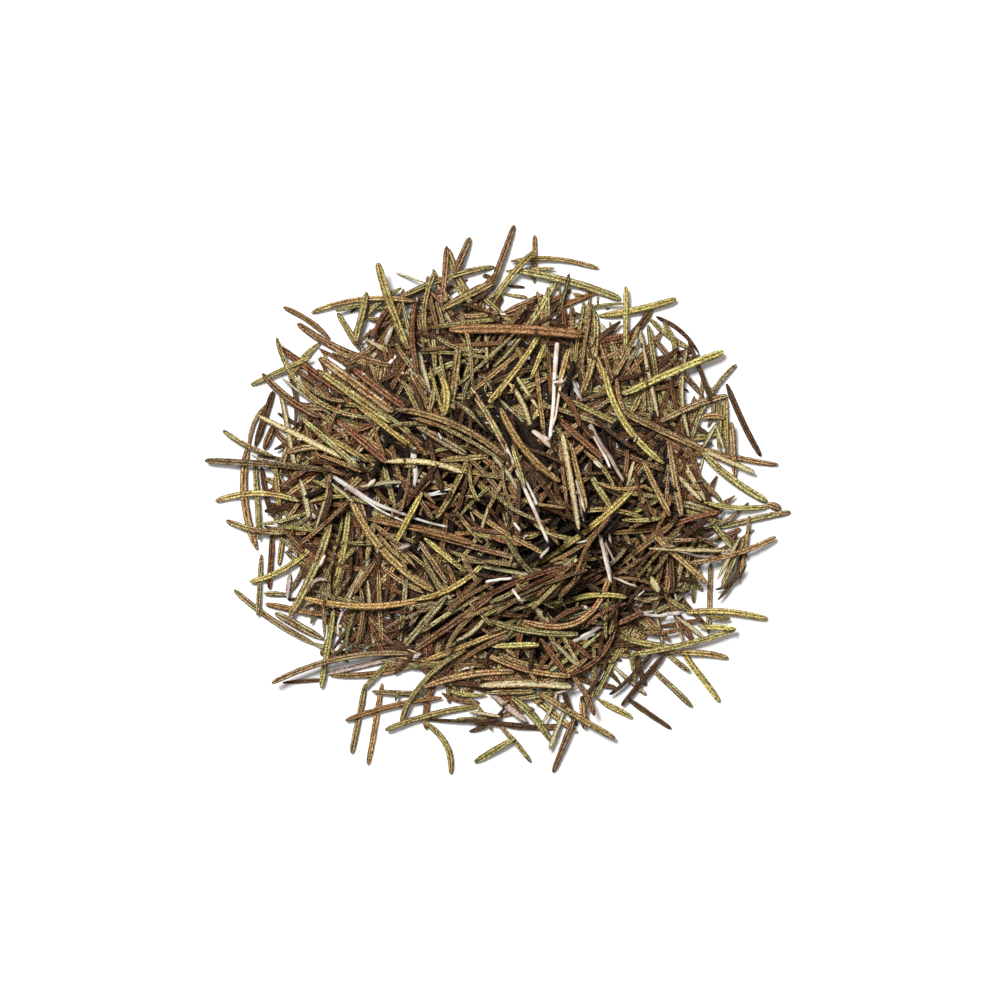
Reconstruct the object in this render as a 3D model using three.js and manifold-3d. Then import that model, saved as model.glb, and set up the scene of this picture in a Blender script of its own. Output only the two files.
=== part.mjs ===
// A loose heap of dried rosemary leaves and a few pale stem splinters, about 94 mm across, lying on a flat surface.
// Millimetres, +Z up. The origin is the middle of the footprint, on that surface.
// Every leaf is a slim needle, straight or bowed in plan. The leaves are laid one after another, each coming to
// rest on the two highest things under it, one on each side of its middle, or flat on the surface.
// A leaf is fused to a leaf that carries it, and so the heap becomes a few clumps. The long leaves on top and
// the stem splinters stay separate pieces.

import * as THREE from "three";
import Module from "manifold-3d";

const wasm = await Module();
wasm.setup();

// Driving dimensions, in millimetres.
const tipLength = 0.8; // from a leaf's end to its full width
const thicknessShare = 0.62; // of a leaf's width
const thinnest = 0.6;
const narrowest = 0.75;
const bowStep = 0.2; // how far a straight stretch may stand off the leaf's curve
const restGap = 0.16; // between leaves that only touch
const leastGap = 0.05;
const sinkDepths = [0.25, 0.4, 0.55]; // of a leaf into what it is fused to, tried in turn
const leastJoin = 0.006; // cubic millimetres that fused leaves share
const leastCut = 1e-6; // cubic millimetres from which one leaf counts as cutting another
const fuseTolerance = 0.01; // by which a fused clump's surface may be evened out
const raiseStep = 0.05; // by which a leaf that cuts others is raised
const mostRaises = 12;
const mostSlope = 0.3; // rise of a lying leaf over its length
const lifts = [0.25, 0.35, 0.45, 0.6, 0.8]; // of a lone leaf into what lies over it
const cell = 0.25; // of the height map
const mapHalf = 50; // from the middle of the height map to its sides
const sampleStep = 0.2; // along and across a leaf
const tipLeftOut = 0.4; // of each end, when a leaf finds its supports
const edgeDrop = 0.6; // of the thickness, from a leaf's middle to its edge

// The unseen lower leaves: how many, how far from the middle, how crowded there, how long and how wide.
const lowerLeafCount = 170;
const lowerReach = 35;
const lowerCrowding = 0.45; // 0 spreads them evenly over the circle
const lowerShortest = 7;
const lowerLongest = 15;
const lowerNarrowest = 0.9;
const lowerWidest = 1.3;
const lowerBow = 1.2; // most, to either side
const lowerKinds = ["olive", "brown", "gold", "dark", "olive", "brown", "russet", "lime"];
const seed = 7;

// What stays separate, and how many leaves one clump may gather.
const longLeaf = 18;
const longStem = 5;
const shortestLone = 9.5; // of a leaf that touches nothing and is still a piece
const mostInClump = 230;

// The look and the colour family of each kind.
const kinds = {
  lime: { colour: 0x8f8a45, family: "green" },
  olive: { colour: 0x7d7438, family: "green" },
  gold: { colour: 0x8a6a35, family: "brown" },
  brown: { colour: 0x6a4a2a, family: "brown" },
  orange: { colour: 0x8a4a28, family: "brown" },
  russet: { colour: 0x6b2f1c, family: "dark" },
  dark: { colour: 0x4a2f2a, family: "dark" },
  pale: { colour: 0xb9b284, family: "pale" },
  lilac: { colour: 0xb9a7a8, family: "pale" },
  stem: { colour: 0xe0d9cf, family: "stem" },
};

// Sections across a leaf: [part of the half width, part of the thickness], anticlockwise along the leaf.
const plainSection = [[-1, 0], [1, 0], [0, 1]];
const roundSection = [[-0.7, 0], [0.7, 0], [1, 0.5], [0.4, 1], [-0.4, 1], [-1, 0.5]];

// Each row is one leaf in plan: x and y of its base, x and y of its tip, how far its middle stands to the left
// of the straight line between them, its width, and its kind. The rows of a group lie in this order.
const rimLeaves = [
  [-24.5, 16.8, -35.1, 24.4, 0, 1.2, "russet"], [-13.4, 31.7, -30, 30, -1.2, 0.9, "olive"],
  [-17.8, 30.4, -26, 30.2, -0.7, 0.8, "olive"], [-0.6, 37.4, -15.5, 32.4, -0.7, 1, "olive"],
  [-7, 36, -4.5, 42.1, 0, 1.2, "brown"], [-11.6, 34.7, -16.4, 36.4, 0, 0.35, "pale"],
  [5.8, 34.8, 5.9, 42.5, 0, 0.9, "brown"], [1.2, 36.7, 9.1, 37.1, 0, 0.6, "olive"],
  [7.6, 30, 16, 33.4, 0, 1, "brown"], [0.9, 33, 4.7, 32.5, 0, 0.6, "olive"],
  [1.5, 34.3, 4.3, 34.1, 0, 0.5, "dark"], [12, 27, 10.3, 30.2, 0, 0.7, "brown"],
  [33, 16.5, 25.1, 25.7, 0, 1, "brown"], [-29.8, 22.9, -39.7, 18.4, 0, 0.9, "olive"],
  [-39, 8.6, -36.1, 17.4, 0, 1.1, "dark"], [-32.3, 4, -34.9, 17.1, 0, 0.8, "pale"],
  [-25.5, 7.3, -34, 7.4, -1, 1, "gold"], [-38.7, -8, -40.2, 8.4, 1.3, 1.2, "gold"],
  [-38.3, -6.5, -39, 6, 0, 0.9, "olive"], [-36.8, -2, -38, 5.2, 0, 0.9, "dark"],
  [-35, -3, -35.6, 5.2, 0, 0.9, "olive"], [-36, 12, -37.6, 8.1, 0, 1.2, "brown"],
  [-28.5, 4.6, -34, 0.6, 0, 1, "gold"], [-27.6, 10.2, -20.8, 6.1, 0, 1, "olive"],
  [-10.9, 14, -10.2, 18, 0, 1, "olive"], [31, 9.2, 38.3, 21.7, 1.2, 0.8, "olive"],
  [31.5, 8.6, 45, 5.6, -0.4, 0.9, "gold"], [36.6, 7.6, 36.6, 16.4, 0, 0.9, "olive"],
  [35.4, 8, 35.6, 15.8, 0, 1, "olive"], [38.1, 3.2, 37.4, 12.4, 0, 1, "gold"],
  [29.6, 10.4, 29.4, 19.8, 0, 0.8, "brown"], [35.2, 3.8, 32.9, -0.4, 0, 0.8, "dark"],
  [33, 7, 31.6, 2.3, 0, 0.6, "pale"], [30.2, 8, 31.9, 2.6, 0, 0.8, "dark"],
  [-34.6, -29.4, -27.5, -28.9, 0, 0.6, "dark"], [-21.3, -29.6, -23.5, -40.8, 0, 1, "olive"],
  [-18.6, -29.5, -20.9, -42.6, 0, 0.9, "gold"], [-12, -35.6, -7.6, -44.1, 1.5, 1, "olive"],
  [-20.3, -30.8, -12.6, -31.2, 0, 0.9, "olive"], [-29.3, -23.3, -42.4, -14.5, 0.6, 1, "olive"],
  [-27.6, -18.6, -37.4, -16.8, 0, 1, "brown"], [-28, -22.4, -35.8, -18.2, 0, 1.2, "olive"],
  [-33.8, -15.3, -37.6, -15.1, 0, 0.9, "olive"], [-38, -8.8, -38.6, -18.7, 0, 0.8, "olive"],
  [-36.3, -5.6, -36.7, -14.4, 0, 1, "russet"], [-34.6, -5.8, -35.2, -10.6, 0, 0.9, "olive"],
  [-33.4, -11.8, -33.8, -16, 0, 0.8, "lilac"], [-19.2, -11.3, -18.7, -23, 0, 0.9, "olive"],
  [-1, -31.2, 4.6, -35.6, 0, 1.2, "lilac"], [2.2, -31.6, 8.6, -38.9, 0.5, 1.3, "olive"],
  [10.6, -33.6, 8.2, -40.2, 0, 0.8, "pale"], [12.5, -34.4, 8.8, -43.8, 0, 1, "brown"],
  [1.8, -37.6, 5.3, -42.2, 0, 0.8, "olive"], [-0.5, -35.5, 2.6, -38.8, 0, 0.8, "olive"],
  [13.4, -31.5, 13.9, -36.8, 0, 1.3, "gold"], [20.8, -32, 27.8, -36.8, 0, 0.9, "dark"],
  [16, -32, 21.6, -35.1, 0, 1, "lime"], [24.4, -26.8, 31.2, -33.3, 0, 1, "olive"],
  [29.4, -24.2, 35.6, -32.5, 0, 1.1, "lime"], [27, -24.8, 30.8, -27.6, 0, 0.9, "olive"],
  [33.8, -21.6, 34.2, -10.2, 0, 0.9, "gold"], [35.8, -14.1, 39.4, -6.3, 0, 0.9, "olive"],
  [35.2, -12.8, 38.6, -6.1, 0, 0.7, "pale"], [35.2, -4.6, 47, -2, 0.2, 1, "olive"],
  [34.5, -6.6, 39, -4.7, 0, 0.9, "russet"],
];

const middleLeaves = [
  [-27, 25.8, -34.5, 30.9, -0.5, 0.9, "brown"], [-22.2, 24, -25.8, 30, 0, 1, "olive"],
  [-22.9, 24.8, -21, 33.2, 0, 1.2, "lime"], [-10.6, 23.5, -10, 36.5, 1.6, 1, "olive"],
  [-9, 31, -8.2, 40.7, 0, 1, "brown"], [-9.1, 30.4, -0.8, 34.8, 0, 1.3, "gold"],
  [-18, 25, -17, 27.5, 0, 0.8, "stem"], [-8.1, 25.6, -9.9, 31.8, 0, 0.8, "olive"],
  [2, 38.2, 16.2, 37.1, 0.9, 0.8, "olive"], [2.6, 36.7, 19.7, 32.2, 0.6, 1.3, "lime"],
  [0.9, 29.9, 7.3, 32.8, 0, 1.1, "brown"], [12.2, 21, 13.8, 31.8, 0, 0.7, "olive"],
  [16.2, 29.5, 28.6, 32.2, -0.4, 1.2, "lime"], [19.4, 24.5, 17.9, 28.6, 0, 0.6, "olive"],
  [23.5, 19.5, 28.9, 24.2, 0, 0.9, "dark"], [30.6, 10, 30.2, 24.1, 1, 0.8, "pale"],
  [-36, 7, -44.2, 11.1, 0.4, 0.9, "olive"], [-38.4, 13.4, -24.6, 6.6, 0, 1, "pale"],
  [-31.8, 3.4, -30, -5.4, 0.3, 1, "pale"], [-13.2, 8, -22.5, 15.2, 0, 1.1, "olive"],
  [-9.2, 6.2, -1.5, 6.9, 0, 1, "lime"], [-19.8, 11.4, -17.9, 5.6, 0, 0.9, "brown"],
  [-18.4, 6, -16.4, -1.5, 0, 1, "lime"], [-26, 13, -17.6, 5.8, 0, 1.3, "russet"],
  [-19.8, 5.7, -23.8, 1.8, 0, 1.1, "olive"], [-7.4, 15.2, -6.3, 24.5, 0, 1.3, "gold"],
  [-10.1, 20.2, -10.4, 27.5, 0, 0.8, "lime"], [-19, 18.2, -18, 22.5, 0, 1.1, "gold"],
  [-14.1, 20.6, -16.4, 16.1, 0, 0.6, "olive"], [-3.8, 17.6, 4.6, 24.6, 0, 1, "gold"],
  [9, 15.5, 11.4, 24.5, 0, 1, "gold"], [8.5, 16, 8, 25, 0, 0.8, "brown"],
  [7.4, 10.2, 6.1, 21, 0, 0.8, "gold"], [5.2, 19.2, 7.4, 24.6, 0, 0.8, "lime"],
  [2.8, 20, 6.4, 14.6, 0, 0.7, "pale"], [-0.2, 16.5, 4.6, 11.9, 0, 0.6, "pale"],
  [9.8, 9.8, 11, -1, 0, 0.7, "brown"], [11.6, 9, 14, -1.5, 0, 1, "gold"],
  [18, 20.6, 16.4, 25.6, 0, 1.2, "orange"], [13.4, 15.9, 11.7, 19.6, 0, 0.6, "stem"],
  [15, 6.5, 13.6, 4.2, 0, 0.5, "stem"], [2.6, 8.6, 4.9, 1.8, 0, 0.7, "brown"],
  [8.6, 2.8, 6.4, -0.8, 0, 0.8, "brown"], [36.7, 18.6, 42.2, 7, -0.3, 1, "dark"],
  [26.5, 10.6, 41.2, 4.3, 0, 1, "pale"], [32.8, 7.4, 43.2, -0.3, -0.5, 1.3, "lime"],
  [32.4, 12.9, 36.4, 13, 0.5, 1.1, "gold"], [35, 12.2, 32.9, 8.4, 0, 0.7, "pale"],
  [35, 12, 36.2, 8.2, 0, 0.5, "pale"], [27.8, 13.9, 26.2, 18.4, 0, 0.9, "lime"],
  [21.2, 13.6, 23.2, 17.4, 0, 1.2, "olive"], [28.2, 8.4, 33.2, -0.2, 0, 1, "pale"],
  [28.6, 4, 32.6, -0.2, 0, 0.9, "pale"], [17.5, 8.6, 26.6, 4.6, 0, 0.9, "brown"],
  [20.8, 8, 20.2, 2, 0, 0.9, "brown"], [21.9, 6.4, 20.6, 2, 0, 0.7, "pale"],
  [-18.7, -10.5, -10.8, -15, -0.7, 0.9, "gold"], [-14.5, -4.6, 3, -9.3, 0, 1, "brown"],
  [-5.2, -2.2, -7.8, -4.6, 0, 0.9, "lime"], [-11.8, -6.2, -5, -11.7, 0, 1, "lime"],
  [-13.2, -6, -8, -13.6, 0, 1, "gold"], [-14.2, -24.9, -27.5, -28, 0, 0.9, "lilac"],
  [-27, -28.2, -9, -25, -1, 1, "gold"], [-12, -26, 3, -20.2, 0, 1, "gold"],
  [-17.5, -26, -21.8, -30.6, 0, 0.9, "olive"], [-9, -31.8, -24.5, -35.5, -0.6, 0.9, "brown"],
  [-3, -33.2, -18.1, -37, -0.6, 1, "olive"], [2.8, -38.2, -3.8, -42.2, 0, 1.1, "lime"],
  [-20.9, -13, -19.9, -24.2, 0, 0.7, "pale"], [-24.6, -17, -25.7, -21.8, 0, 0.5, "stem"],
  [-19.8, -7.8, -24.9, -17.2, 0, 1, "pale"], [-18.9, -8.5, -23.2, -15.2, 0, 1, "brown"],
  [-14.6, -12.6, -15.8, -23, 0, 1, "olive"], [-9.2, -22.2, -9.8, -25, 0, 0.9, "gold"],
  [-1.8, -13.1, 0.4, -13.1, 0, 0.4, "stem"], [11.5, -2.3, 23.1, -2.9, 1, 0.9, "lime"],
  [6, -1.7, 11.8, -5, 0, 1, "lime"], [2, -5.3, 6, -3.2, 0, 0.9, "olive"],
  [12.4, 3, 13.6, -3.4, 0, 0.5, "stem"], [16.6, -12, 11.4, -15.3, 0, 1, "russet"],
  [-1.5, -19.2, 12.8, -21.4, -0.8, 1, "olive"], [-1, -23.5, 6.6, -23.2, 0, 1, "lime"],
  [-2, -31, 6, -30.9, 0, 0.9, "olive"], [6.3, -30.9, 18.8, -38.3, 0, 1.1, "gold"],
  [18.4, -26.6, 23.8, -31.4, 0, 0.8, "pale"], [26.8, -24.8, 19.8, -33.1, 0, 0.9, "dark"],
  [29, -24.6, 37, -25.5, 0.4, 1.1, "lime"], [20.8, -22.5, 28.6, -23.9, 0, 1.1, "lime"],
  [28.4, -18.6, 33, -22.2, 0, 0.8, "pale"], [28.6, -19.6, 29.8, -23.2, 0, 0.5, "pale"],
  [26.8, -7.9, 37.2, -8.3, 0, 0.6, "stem"], [33.2, -2.4, 37.6, -7.8, 0, 0.9, "lime"],
  [33, -0.4, 43.5, -1.1, -0.6, 0.9, "lime"], [43.2, -0.7, 45.4, -1.4, 0, 1.2, "gold"],
  [17.6, -5.4, 26, -4.8, 0, 0.9, "brown"], [-3, -10.6, 5.4, -12, 0, 0.8, "pale"],
  [12, -22.7, 17.4, -19.9, 0, 0.8, "stem"], [11.6, -22.6, 15, -25.4, 0, 0.9, "russet"],
  [13.4, -27.4, 15.4, -29.2, 0, 0.5, "stem"], [9.4, -31, 13.6, -29.9, 0, 0.6, "stem"],
  [5.4, -16.6, 8.2, -19.6, 0, 0.9, "pale"], [8.8, -22.6, 12.8, -26.6, 0, 0.9, "pale"],
  [26.2, -15.2, 30.2, -17.8, 0, 0.8, "olive"], [22, -16.4, 26.8, -15.4, 0, 0.7, "pale"],
  [18.4, -14.6, 24.6, -16.4, 0, 0.9, "gold"], [27.6, -8.6, 28, -14.8, 0, 0.9, "dark"],
  [31.2, -12.2, 31.4, -16.6, 0, 0.7, "olive"],
];

const topLeaves = [
  [-17.1, 21.5, -32.2, 28.3, 1, 1.2, "brown"], [-20.8, 13.1, -35.4, 25.9, 3.5, 0.9, "lime"],
  [-14.4, 24, -19.2, 37.8, 0.3, 1.4, "lime"], [-21.2, 25.6, -17.4, 23.7, 0, 0.9, "pale"],
  [-1, 34.2, 2.6, 44.1, 0, 1, "brown"], [9.4, 28, 11.4, 36.2, 0, 0.8, "olive"],
  [-0.8, 21.2, 9.2, 35, -0.7, 1.2, "lime"], [-1.7, 15.2, 7, 27, -0.4, 1.1, "lime"],
  [-7.8, 27.1, 13.4, 26.3, 0.5, 1.7, "orange"], [-1.2, 31, 6, 39.8, 0.5, 1.1, "lime"],
  [2.4, 28.2, -2.5, 32.5, 0, 1, "lime"], [13.3, 16.8, 15.5, 30.3, -1, 1.2, "olive"],
  [20.5, 23.6, 20.5, 34.2, 0, 0.9, "lime"], [19.9, 22.4, 16.4, 28.4, 0, 0.7, "pale"],
  [25.6, 18, 24.1, 28, 0, 1, "olive"], [25.7, 13.3, 22.7, 27.4, 0, 0.8, "pale"],
  [20.2, 16.8, 36.2, 23.7, 0.2, 1.3, "lime"], [-26.8, 4.6, -47, 6.2, -0.3, 1.1, "gold"],
  [-37.8, 20.2, -28.6, 13.2, -0.6, 1.2, "brown"], [-31.8, 13.2, -22.2, 5, 0, 1.1, "lime"],
  [-31.8, -0.3, -45.4, -0.3, -1.3, 1, "lime"], [-28.6, 22.8, -16.8, 14, 0, 1.5, "gold"],
  [-28.6, 20.6, -16.9, 12.4, 0, 1.5, "lime"], [-23.2, 21, -14.8, 14.6, 0, 1.4, "russet"],
  [-16.3, 14.4, 1.6, 6.4, 1.6, 1.2, "gold"], [-13.1, 11.7, -5, 7.2, 0, 1.3, "gold"],
  [-4.7, 7, -9.8, -2.9, 0.4, 1, "olive"], [-26.8, 4, -8.2, -4.3, -1.2, 0.8, "stem"],
  [-23.6, 0.2, -10.2, -14.6, -1.8, 1.4, "gold"], [-26.6, 2.6, -23, -0.4, 0, 0.7, "pale"],
  [-13.4, 8, -13.3, 2.3, 0, 0.9, "stem"], [-17.8, 6, -5.6, 4.3, 0.7, 1, "pale"],
  [-12, 0.7, -7.4, 1.7, 0, 0.5, "stem"], [-9.4, 20.2, -8.7, 13.3, 0.9, 1.3, "lime"],
  [-10.8, 17, -16.6, 25.3, 0, 1, "olive"], [-10.8, 17.2, -12.8, 24, 0, 0.8, "pale"],
  [-18, 21.6, -16.2, 24, -0.5, 0.5, "stem"], [-5.2, 18.8, 2, 6.5, 0.4, 1.1, "olive"],
  [0.4, 14.5, 9.9, 2.8, -1.2, 1.2, "gold"], [8.3, 9.9, 9.5, 25.3, 0, 0.8, "stem"],
  [1.6, 18.7, 5.2, 11.2, 0.7, 0.9, "pale"], [5.2, 11.2, 9.4, 7.8, 0, 0.8, "stem"],
  [9, 13.5, 17, 6.3, 0, 1.2, "russet"], [11.4, 15.9, 20.6, 11.6, 0, 1.1, "lime"],
  [14.2, 12.9, 19.9, 3, 0, 0.7, "stem"], [26.6, 5.8, 17, 21, 1.9, 1.2, "lime"],
  [10.2, 10.8, 12.8, -4.8, 0, 1, "pale"], [14.6, 4.2, 18.2, -1.6, 0, 1.1, "lime"],
  [1.4, 8.2, 7.8, -6.5, 0, 0.9, "stem"], [2.2, 8.6, 4.2, 2, 0, 0.8, "lime"],
  [26, 12.5, 36.8, 16.7, 0.4, 1.1, "gold"], [20.2, 13.9, 33, 8, 0, 1.3, "gold"],
  [27.4, 9.4, 29.4, -2.6, 0, 1.2, "gold"], [23.2, 6, 27.4, -2.6, 0, 1.1, "gold"],
  [-34.1, -5.4, -43.7, -3.4, 0.4, 1.1, "olive"], [-29, -6.6, -39.9, -13.2, 1.2, 1, "lime"],
  [-34.2, -8.6, -23.6, 0.2, -0.6, 0.8, "brown"], [-26.8, -4, -33.4, -18.7, 0.5, 1.4, "lime"],
  [-23.9, -1.6, -26.8, -15, 0.5, 1.1, "lime"], [-30.5, -14.9, -27.8, -13.4, 0.7, 0.8, "brown"],
  [-12, -16, -30.9, -15.8, 1.2, 1.1, "gold"], [-13.5, -16, -2, -9.8, -1.3, 1, "lime"],
  [-20.8, -3.1, -4, -7, 0.3, 1.2, "brown"], [-12, 1.2, -16.3, -6.8, 0, 1, "lime"],
  [-5.2, -0.8, 7.4, -8.6, -0.4, 0.9, "gold"], [-8.2, -15.4, -15.6, -24.2, 0, 1.3, "olive"],
  [10.9, -10.6, -3.5, -16.6, -0.8, 1, "russet"], [-1, -15.4, -13.3, -24.1, 0, 1.2, "brown"],
  [-26.3, -17.6, -28.4, -30.3, 0, 1, "lime"], [-14, -24.7, -36.2, -29.4, -1.6, 1, "gold"],
  [-5.2, -24.2, -15.6, -35.6, -1.6, 1, "olive"], [-11.8, -30.1, 2.5, -27.6, 0.8, 1.1, "gold"],
  [5.4, -10.8, 21.5, 1.7, -0.8, 1.1, "lime"], [4, -19.3, 18.1, -11.4, -4.5, 1.1, "gold"],
  [18, -12, 16, -5.6, 0, 0.7, "stem"], [18.5, -9.8, 17.2, -6.6, 0, 0.4, "stem"],
  [24, -6.2, 35.5, -2, 0.6, 1, "russet"], [18.6, -11.2, 28, -3.8, 0, 1.1, "brown"],
  [7.6, -18.1, 20.5, -15.6, 1.4, 0.9, "lime"], [6.8, -22.2, 10.6, -27.6, 0, 1, "russet"],
  [10.8, -28.2, 18.8, -20.5, -1.6, 0.9, "russet"], [-2.5, -24.4, 11.6, -28.2, -0.9, 1, "gold"],
  [-3, -29.9, 11.8, -29.9, 0.4, 1.3, "pale"], [21.8, -19.6, 15.4, -31.8, 0, 0.9, "olive"],
  [21.2, -24.8, 38.2, -20.7, -0.6, 1, "lime"], [30, -18.1, 43.3, -19.2, 0.6, 1.1, "lime"],
  [19.8, -18.6, 29.2, -18.2, 0, 0.7, "stem"], [18.6, -20.2, 23.2, -18, 0, 1, "russet"],
  [30.2, -10.2, 44.6, -6, -0.7, 0.9, "gold"], [24.6, -5.6, 33.4, -13.4, 0, 1, "gold"],
];
// A straight leaf that lies flat in the middle of the footprint, under everything else.
const restingLeaf = [-6, 0.8, 6, -0.8, 0, 1.5, "olive"];

// A repeatable draw between 0 and 1, the same on every run.
const drawRange = 2 ** 32;
let drawState = seed;
function draw() {
  drawState = (Math.imul(drawState, 1664525) + 1013904223) >>> 0;
  return drawState / drawRange;
}

function drawBetween(low, high) {
  return low + (high - low) * draw();
}

// A point drawn evenly in the circle of radius 1.
function drawInCircle() {
  for (;;) {
    const x = drawBetween(-1, 1);
    const y = drawBetween(-1, 1);
    if (x * x + y * y <= 1) return [x, y];
  }
}

// One unseen lower leaf. They lie closer together towards the middle of the heap.
function drawLowerLeaf() {
  const [px, py] = drawInCircle();
  const spread = lowerReach * (1 - lowerCrowding * (1 - px * px - py * py));
  const [dx, dy] = drawInCircle();
  const half = (0.5 * drawBetween(lowerShortest, lowerLongest)) / Math.sqrt(dx * dx + dy * dy);
  const bow = drawBetween(-lowerBow, lowerBow);
  const width = drawBetween(lowerNarrowest, lowerWidest);
  const kind = lowerKinds[Math.floor(draw() * lowerKinds.length)];
  const [x, y] = [px * spread, py * spread];
  return [x - dx * half, y - dy * half, x + dx * half, y + dy * half, bow, width, kind];
}

// A leaf's measures from its row. Its two ends get their heights when it is laid.
function leafFrom([x0, y0, x1, y1, bow, width, kind]) {
  const length = Math.sqrt((x1 - x0) ** 2 + (y1 - y0) ** 2);
  const across = [-(y1 - y0) / length, (x1 - x0) / length];
  const fullWidth = Math.max(width, narrowest);
  const thickness = Math.max(fullWidth * thicknessShare, thinnest);
  return { x0, y0, x1, y1, bow, kind, length, across, width: fullWidth, thickness, z0: 0, z1: 0, clump: null };
}

// The plan point of a leaf at the share t of its length, set aside by a distance.
function planPoint(leaf, t, aside = 0) {
  const bow = leaf.bow * 4 * t * (1 - t) + aside;
  return [
    leaf.x0 + (leaf.x1 - leaf.x0) * t + leaf.across[0] * bow,
    leaf.y0 + (leaf.y1 - leaf.y0) * t + leaf.across[1] * bow,
  ];
}

function undersideAt(leaf, t) {
  return leaf.z0 + (leaf.z1 - leaf.z0) * t;
}

// The height map: how high the heap stands in each cell, and which leaf is on top there.
const mapSide = Math.round((2 * mapHalf) / cell);
const heights = new Float64Array(mapSide * mapSide);
const owners = new Array(mapSide * mapSide).fill(null);

function cellAt([x, y]) {
  return Math.floor((x + mapHalf) / cell) + mapSide * Math.floor((y + mapHalf) / cell);
}

// The cells under a leaf, station by station along it, with the share of the half width of each. Its pointed
// ends are left out, and taper says how far its thickness has grown.
function stationsOf(leaf) {
  const count = Math.ceil((leaf.length - 2 * tipLeftOut) / sampleStep);
  const strips = Math.ceil(leaf.width / sampleStep);
  const stations = [];
  for (let i = 0; i <= count; i += 1) {
    const along = tipLeftOut + ((leaf.length - 2 * tipLeftOut) * i) / count;
    const t = along / leaf.length;
    const taper = Math.min(1, Math.min(along, leaf.length - along) / tipLength);
    const cells = [];
    for (let j = 0; j <= strips; j += 1) {
      const share = (2 * j) / strips - 1;
      cells.push({ index: cellAt(planPoint(leaf, t, share * taper * 0.5 * leaf.width)), share });
    }
    stations.push({ t, taper, cells });
  }
  return stations;
}

// The lowest height that each station's underside may have. It sinks into its partner clumps and clears the rest.
function floorsUnder(stations, partners, sinkDepth) {
  const middle = stations.map(({ t, cells }) => {
    let low = { t, height: 0, owner: null };
    for (const { index } of cells) {
      const owner = owners[index];
      if (owner === null) continue;
      const height = heights[index] + (partners.includes(owner.clump) ? -sinkDepth : restGap);
      if (height > low.height) low = { t, height, owner };
    }
    return low;
  });
  return [{ t: 0, height: 0, owner: null }, ...middle, { t: 1, height: 0, owner: null }];
}

// The two stations that a straight leaf comes to rest on, one on each side of its middle.
function supportsOf(floors) {
  const hull = [];
  for (const point of floors) {
    while (hull.length > 1) {
      const [a, b] = hull.slice(-2);
      if ((b.height - a.height) * (point.t - a.t) > (point.height - a.height) * (b.t - a.t)) break;
      hull.pop();
    }
    hull.push(point);
  }
  const after = Math.max(1, hull.findIndex((point) => point.t > 0.5));
  return [hull[after - 1], hull[after]];
}

// Lays a leaf down on its supports, or on the one that it touches first where they would tilt it too far.
function settle(leaf, stations, partners, sinkDepth) {
  const floors = floorsUnder(stations, partners, sinkDepth);
  let [a, b] = supportsOf(floors);
  const steepest = mostSlope * leaf.length;
  const rise = (b.height - a.height) / (b.t - a.t);
  const slope = Math.max(-steepest, Math.min(steepest, rise));
  if (slope !== rise) {
    for (const point of floors) if (point.height - slope * point.t > a.height - slope * a.t) a = point;
    b = a;
  }
  leaf.z0 = a.height - slope * a.t;
  leaf.z1 = leaf.z0 + slope;
  return [...new Set([a.owner, b.owner])].filter((owner) => owner !== null);
}

// Marks a laid leaf's rounded top in the height map.
function markTop(leaf, stations) {
  for (const { t, taper, cells } of stations) {
    for (const { index, share } of cells) {
      const top = undersideAt(leaf, t) + leaf.thickness * taper * (1 - edgeDrop * share * share);
      if (top <= heights[index]) continue;
      heights[index] = top;
      owners[index] = leaf;
    }
  }
}

// A leaf's closed surface: a ring of section points at each station, and one point at each end.
function leafSurface(leaf, section) {
  const stretches = Math.max(1, Math.ceil(Math.sqrt(Math.abs(leaf.bow) / bowStep)));
  const first = tipLength / leaf.length;
  const points = [[...planPoint(leaf, 0), leaf.z0]];
  for (let ring = 0; ring <= stretches; ring += 1) {
    const t = first + ((1 - 2 * first) * ring) / stretches;
    for (const [side, up] of section) {
      const z = undersideAt(leaf, t) + up * leaf.thickness;
      points.push([...planPoint(leaf, t, side * 0.5 * leaf.width), z]);
    }
  }
  points.push([...planPoint(leaf, 1), leaf.z1]);
  const sides = section.length;
  const last = points.length - 1;
  const faces = [];
  for (let side = 0; side < sides; side += 1) {
    const next = (side + 1) % sides;
    faces.push([0, 1 + next, 1 + side]);
    for (let ring = 0; ring < stretches; ring += 1) {
      const here = 1 + ring * sides;
      const there = here + sides;
      faces.push([here + side, here + next, there + next], [here + side, there + next, there + side]);
    }
    faces.push([last, last - sides + side, last - sides + next]);
  }
  return { points, faces };
}

function solidFrom({ points, faces }) {
  const vertProperties = new Float32Array(points.flat());
  const triVerts = new Uint32Array(faces.flat());
  return new wasm.Manifold(new wasm.Mesh({ numProp: 3, vertProperties, triVerts }));
}

// The solid of a leaf where it lies, with the box round it.
function shapeLeaf(leaf) {
  leaf.solid = solidFrom(leafSurface(leaf, leaf.section));
  leaf.box = leaf.solid.boundingBox();
}

function boxesMeet(a, b) {
  return [0, 1, 2].every((axis) => a.min[axis] <= b.max[axis] && b.min[axis] <= a.max[axis]);
}

// The laid leaves outside its partner clumps that a leaf, lowered by the least gap, would cut.
function cutBy(leaf, partners, laid) {
  const lowered = leaf.solid.translate([0, 0, -leastGap]);
  const box = lowered.boundingBox();
  const others = laid.filter((other) => !partners.includes(other.clump) && boxesMeet(box, other.box));
  return others.filter((other) => lowered.intersect(other.solid).volume() > leastCut);
}

// How much of a leaf lies inside a clump.
function sharedVolume(leaf, clump) {
  const near = clump.filter((other) => boxesMeet(leaf.box, other.box));
  return near.reduce((sum, other) => sum + leaf.solid.intersect(other.solid).volume(), 0);
}

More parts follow.
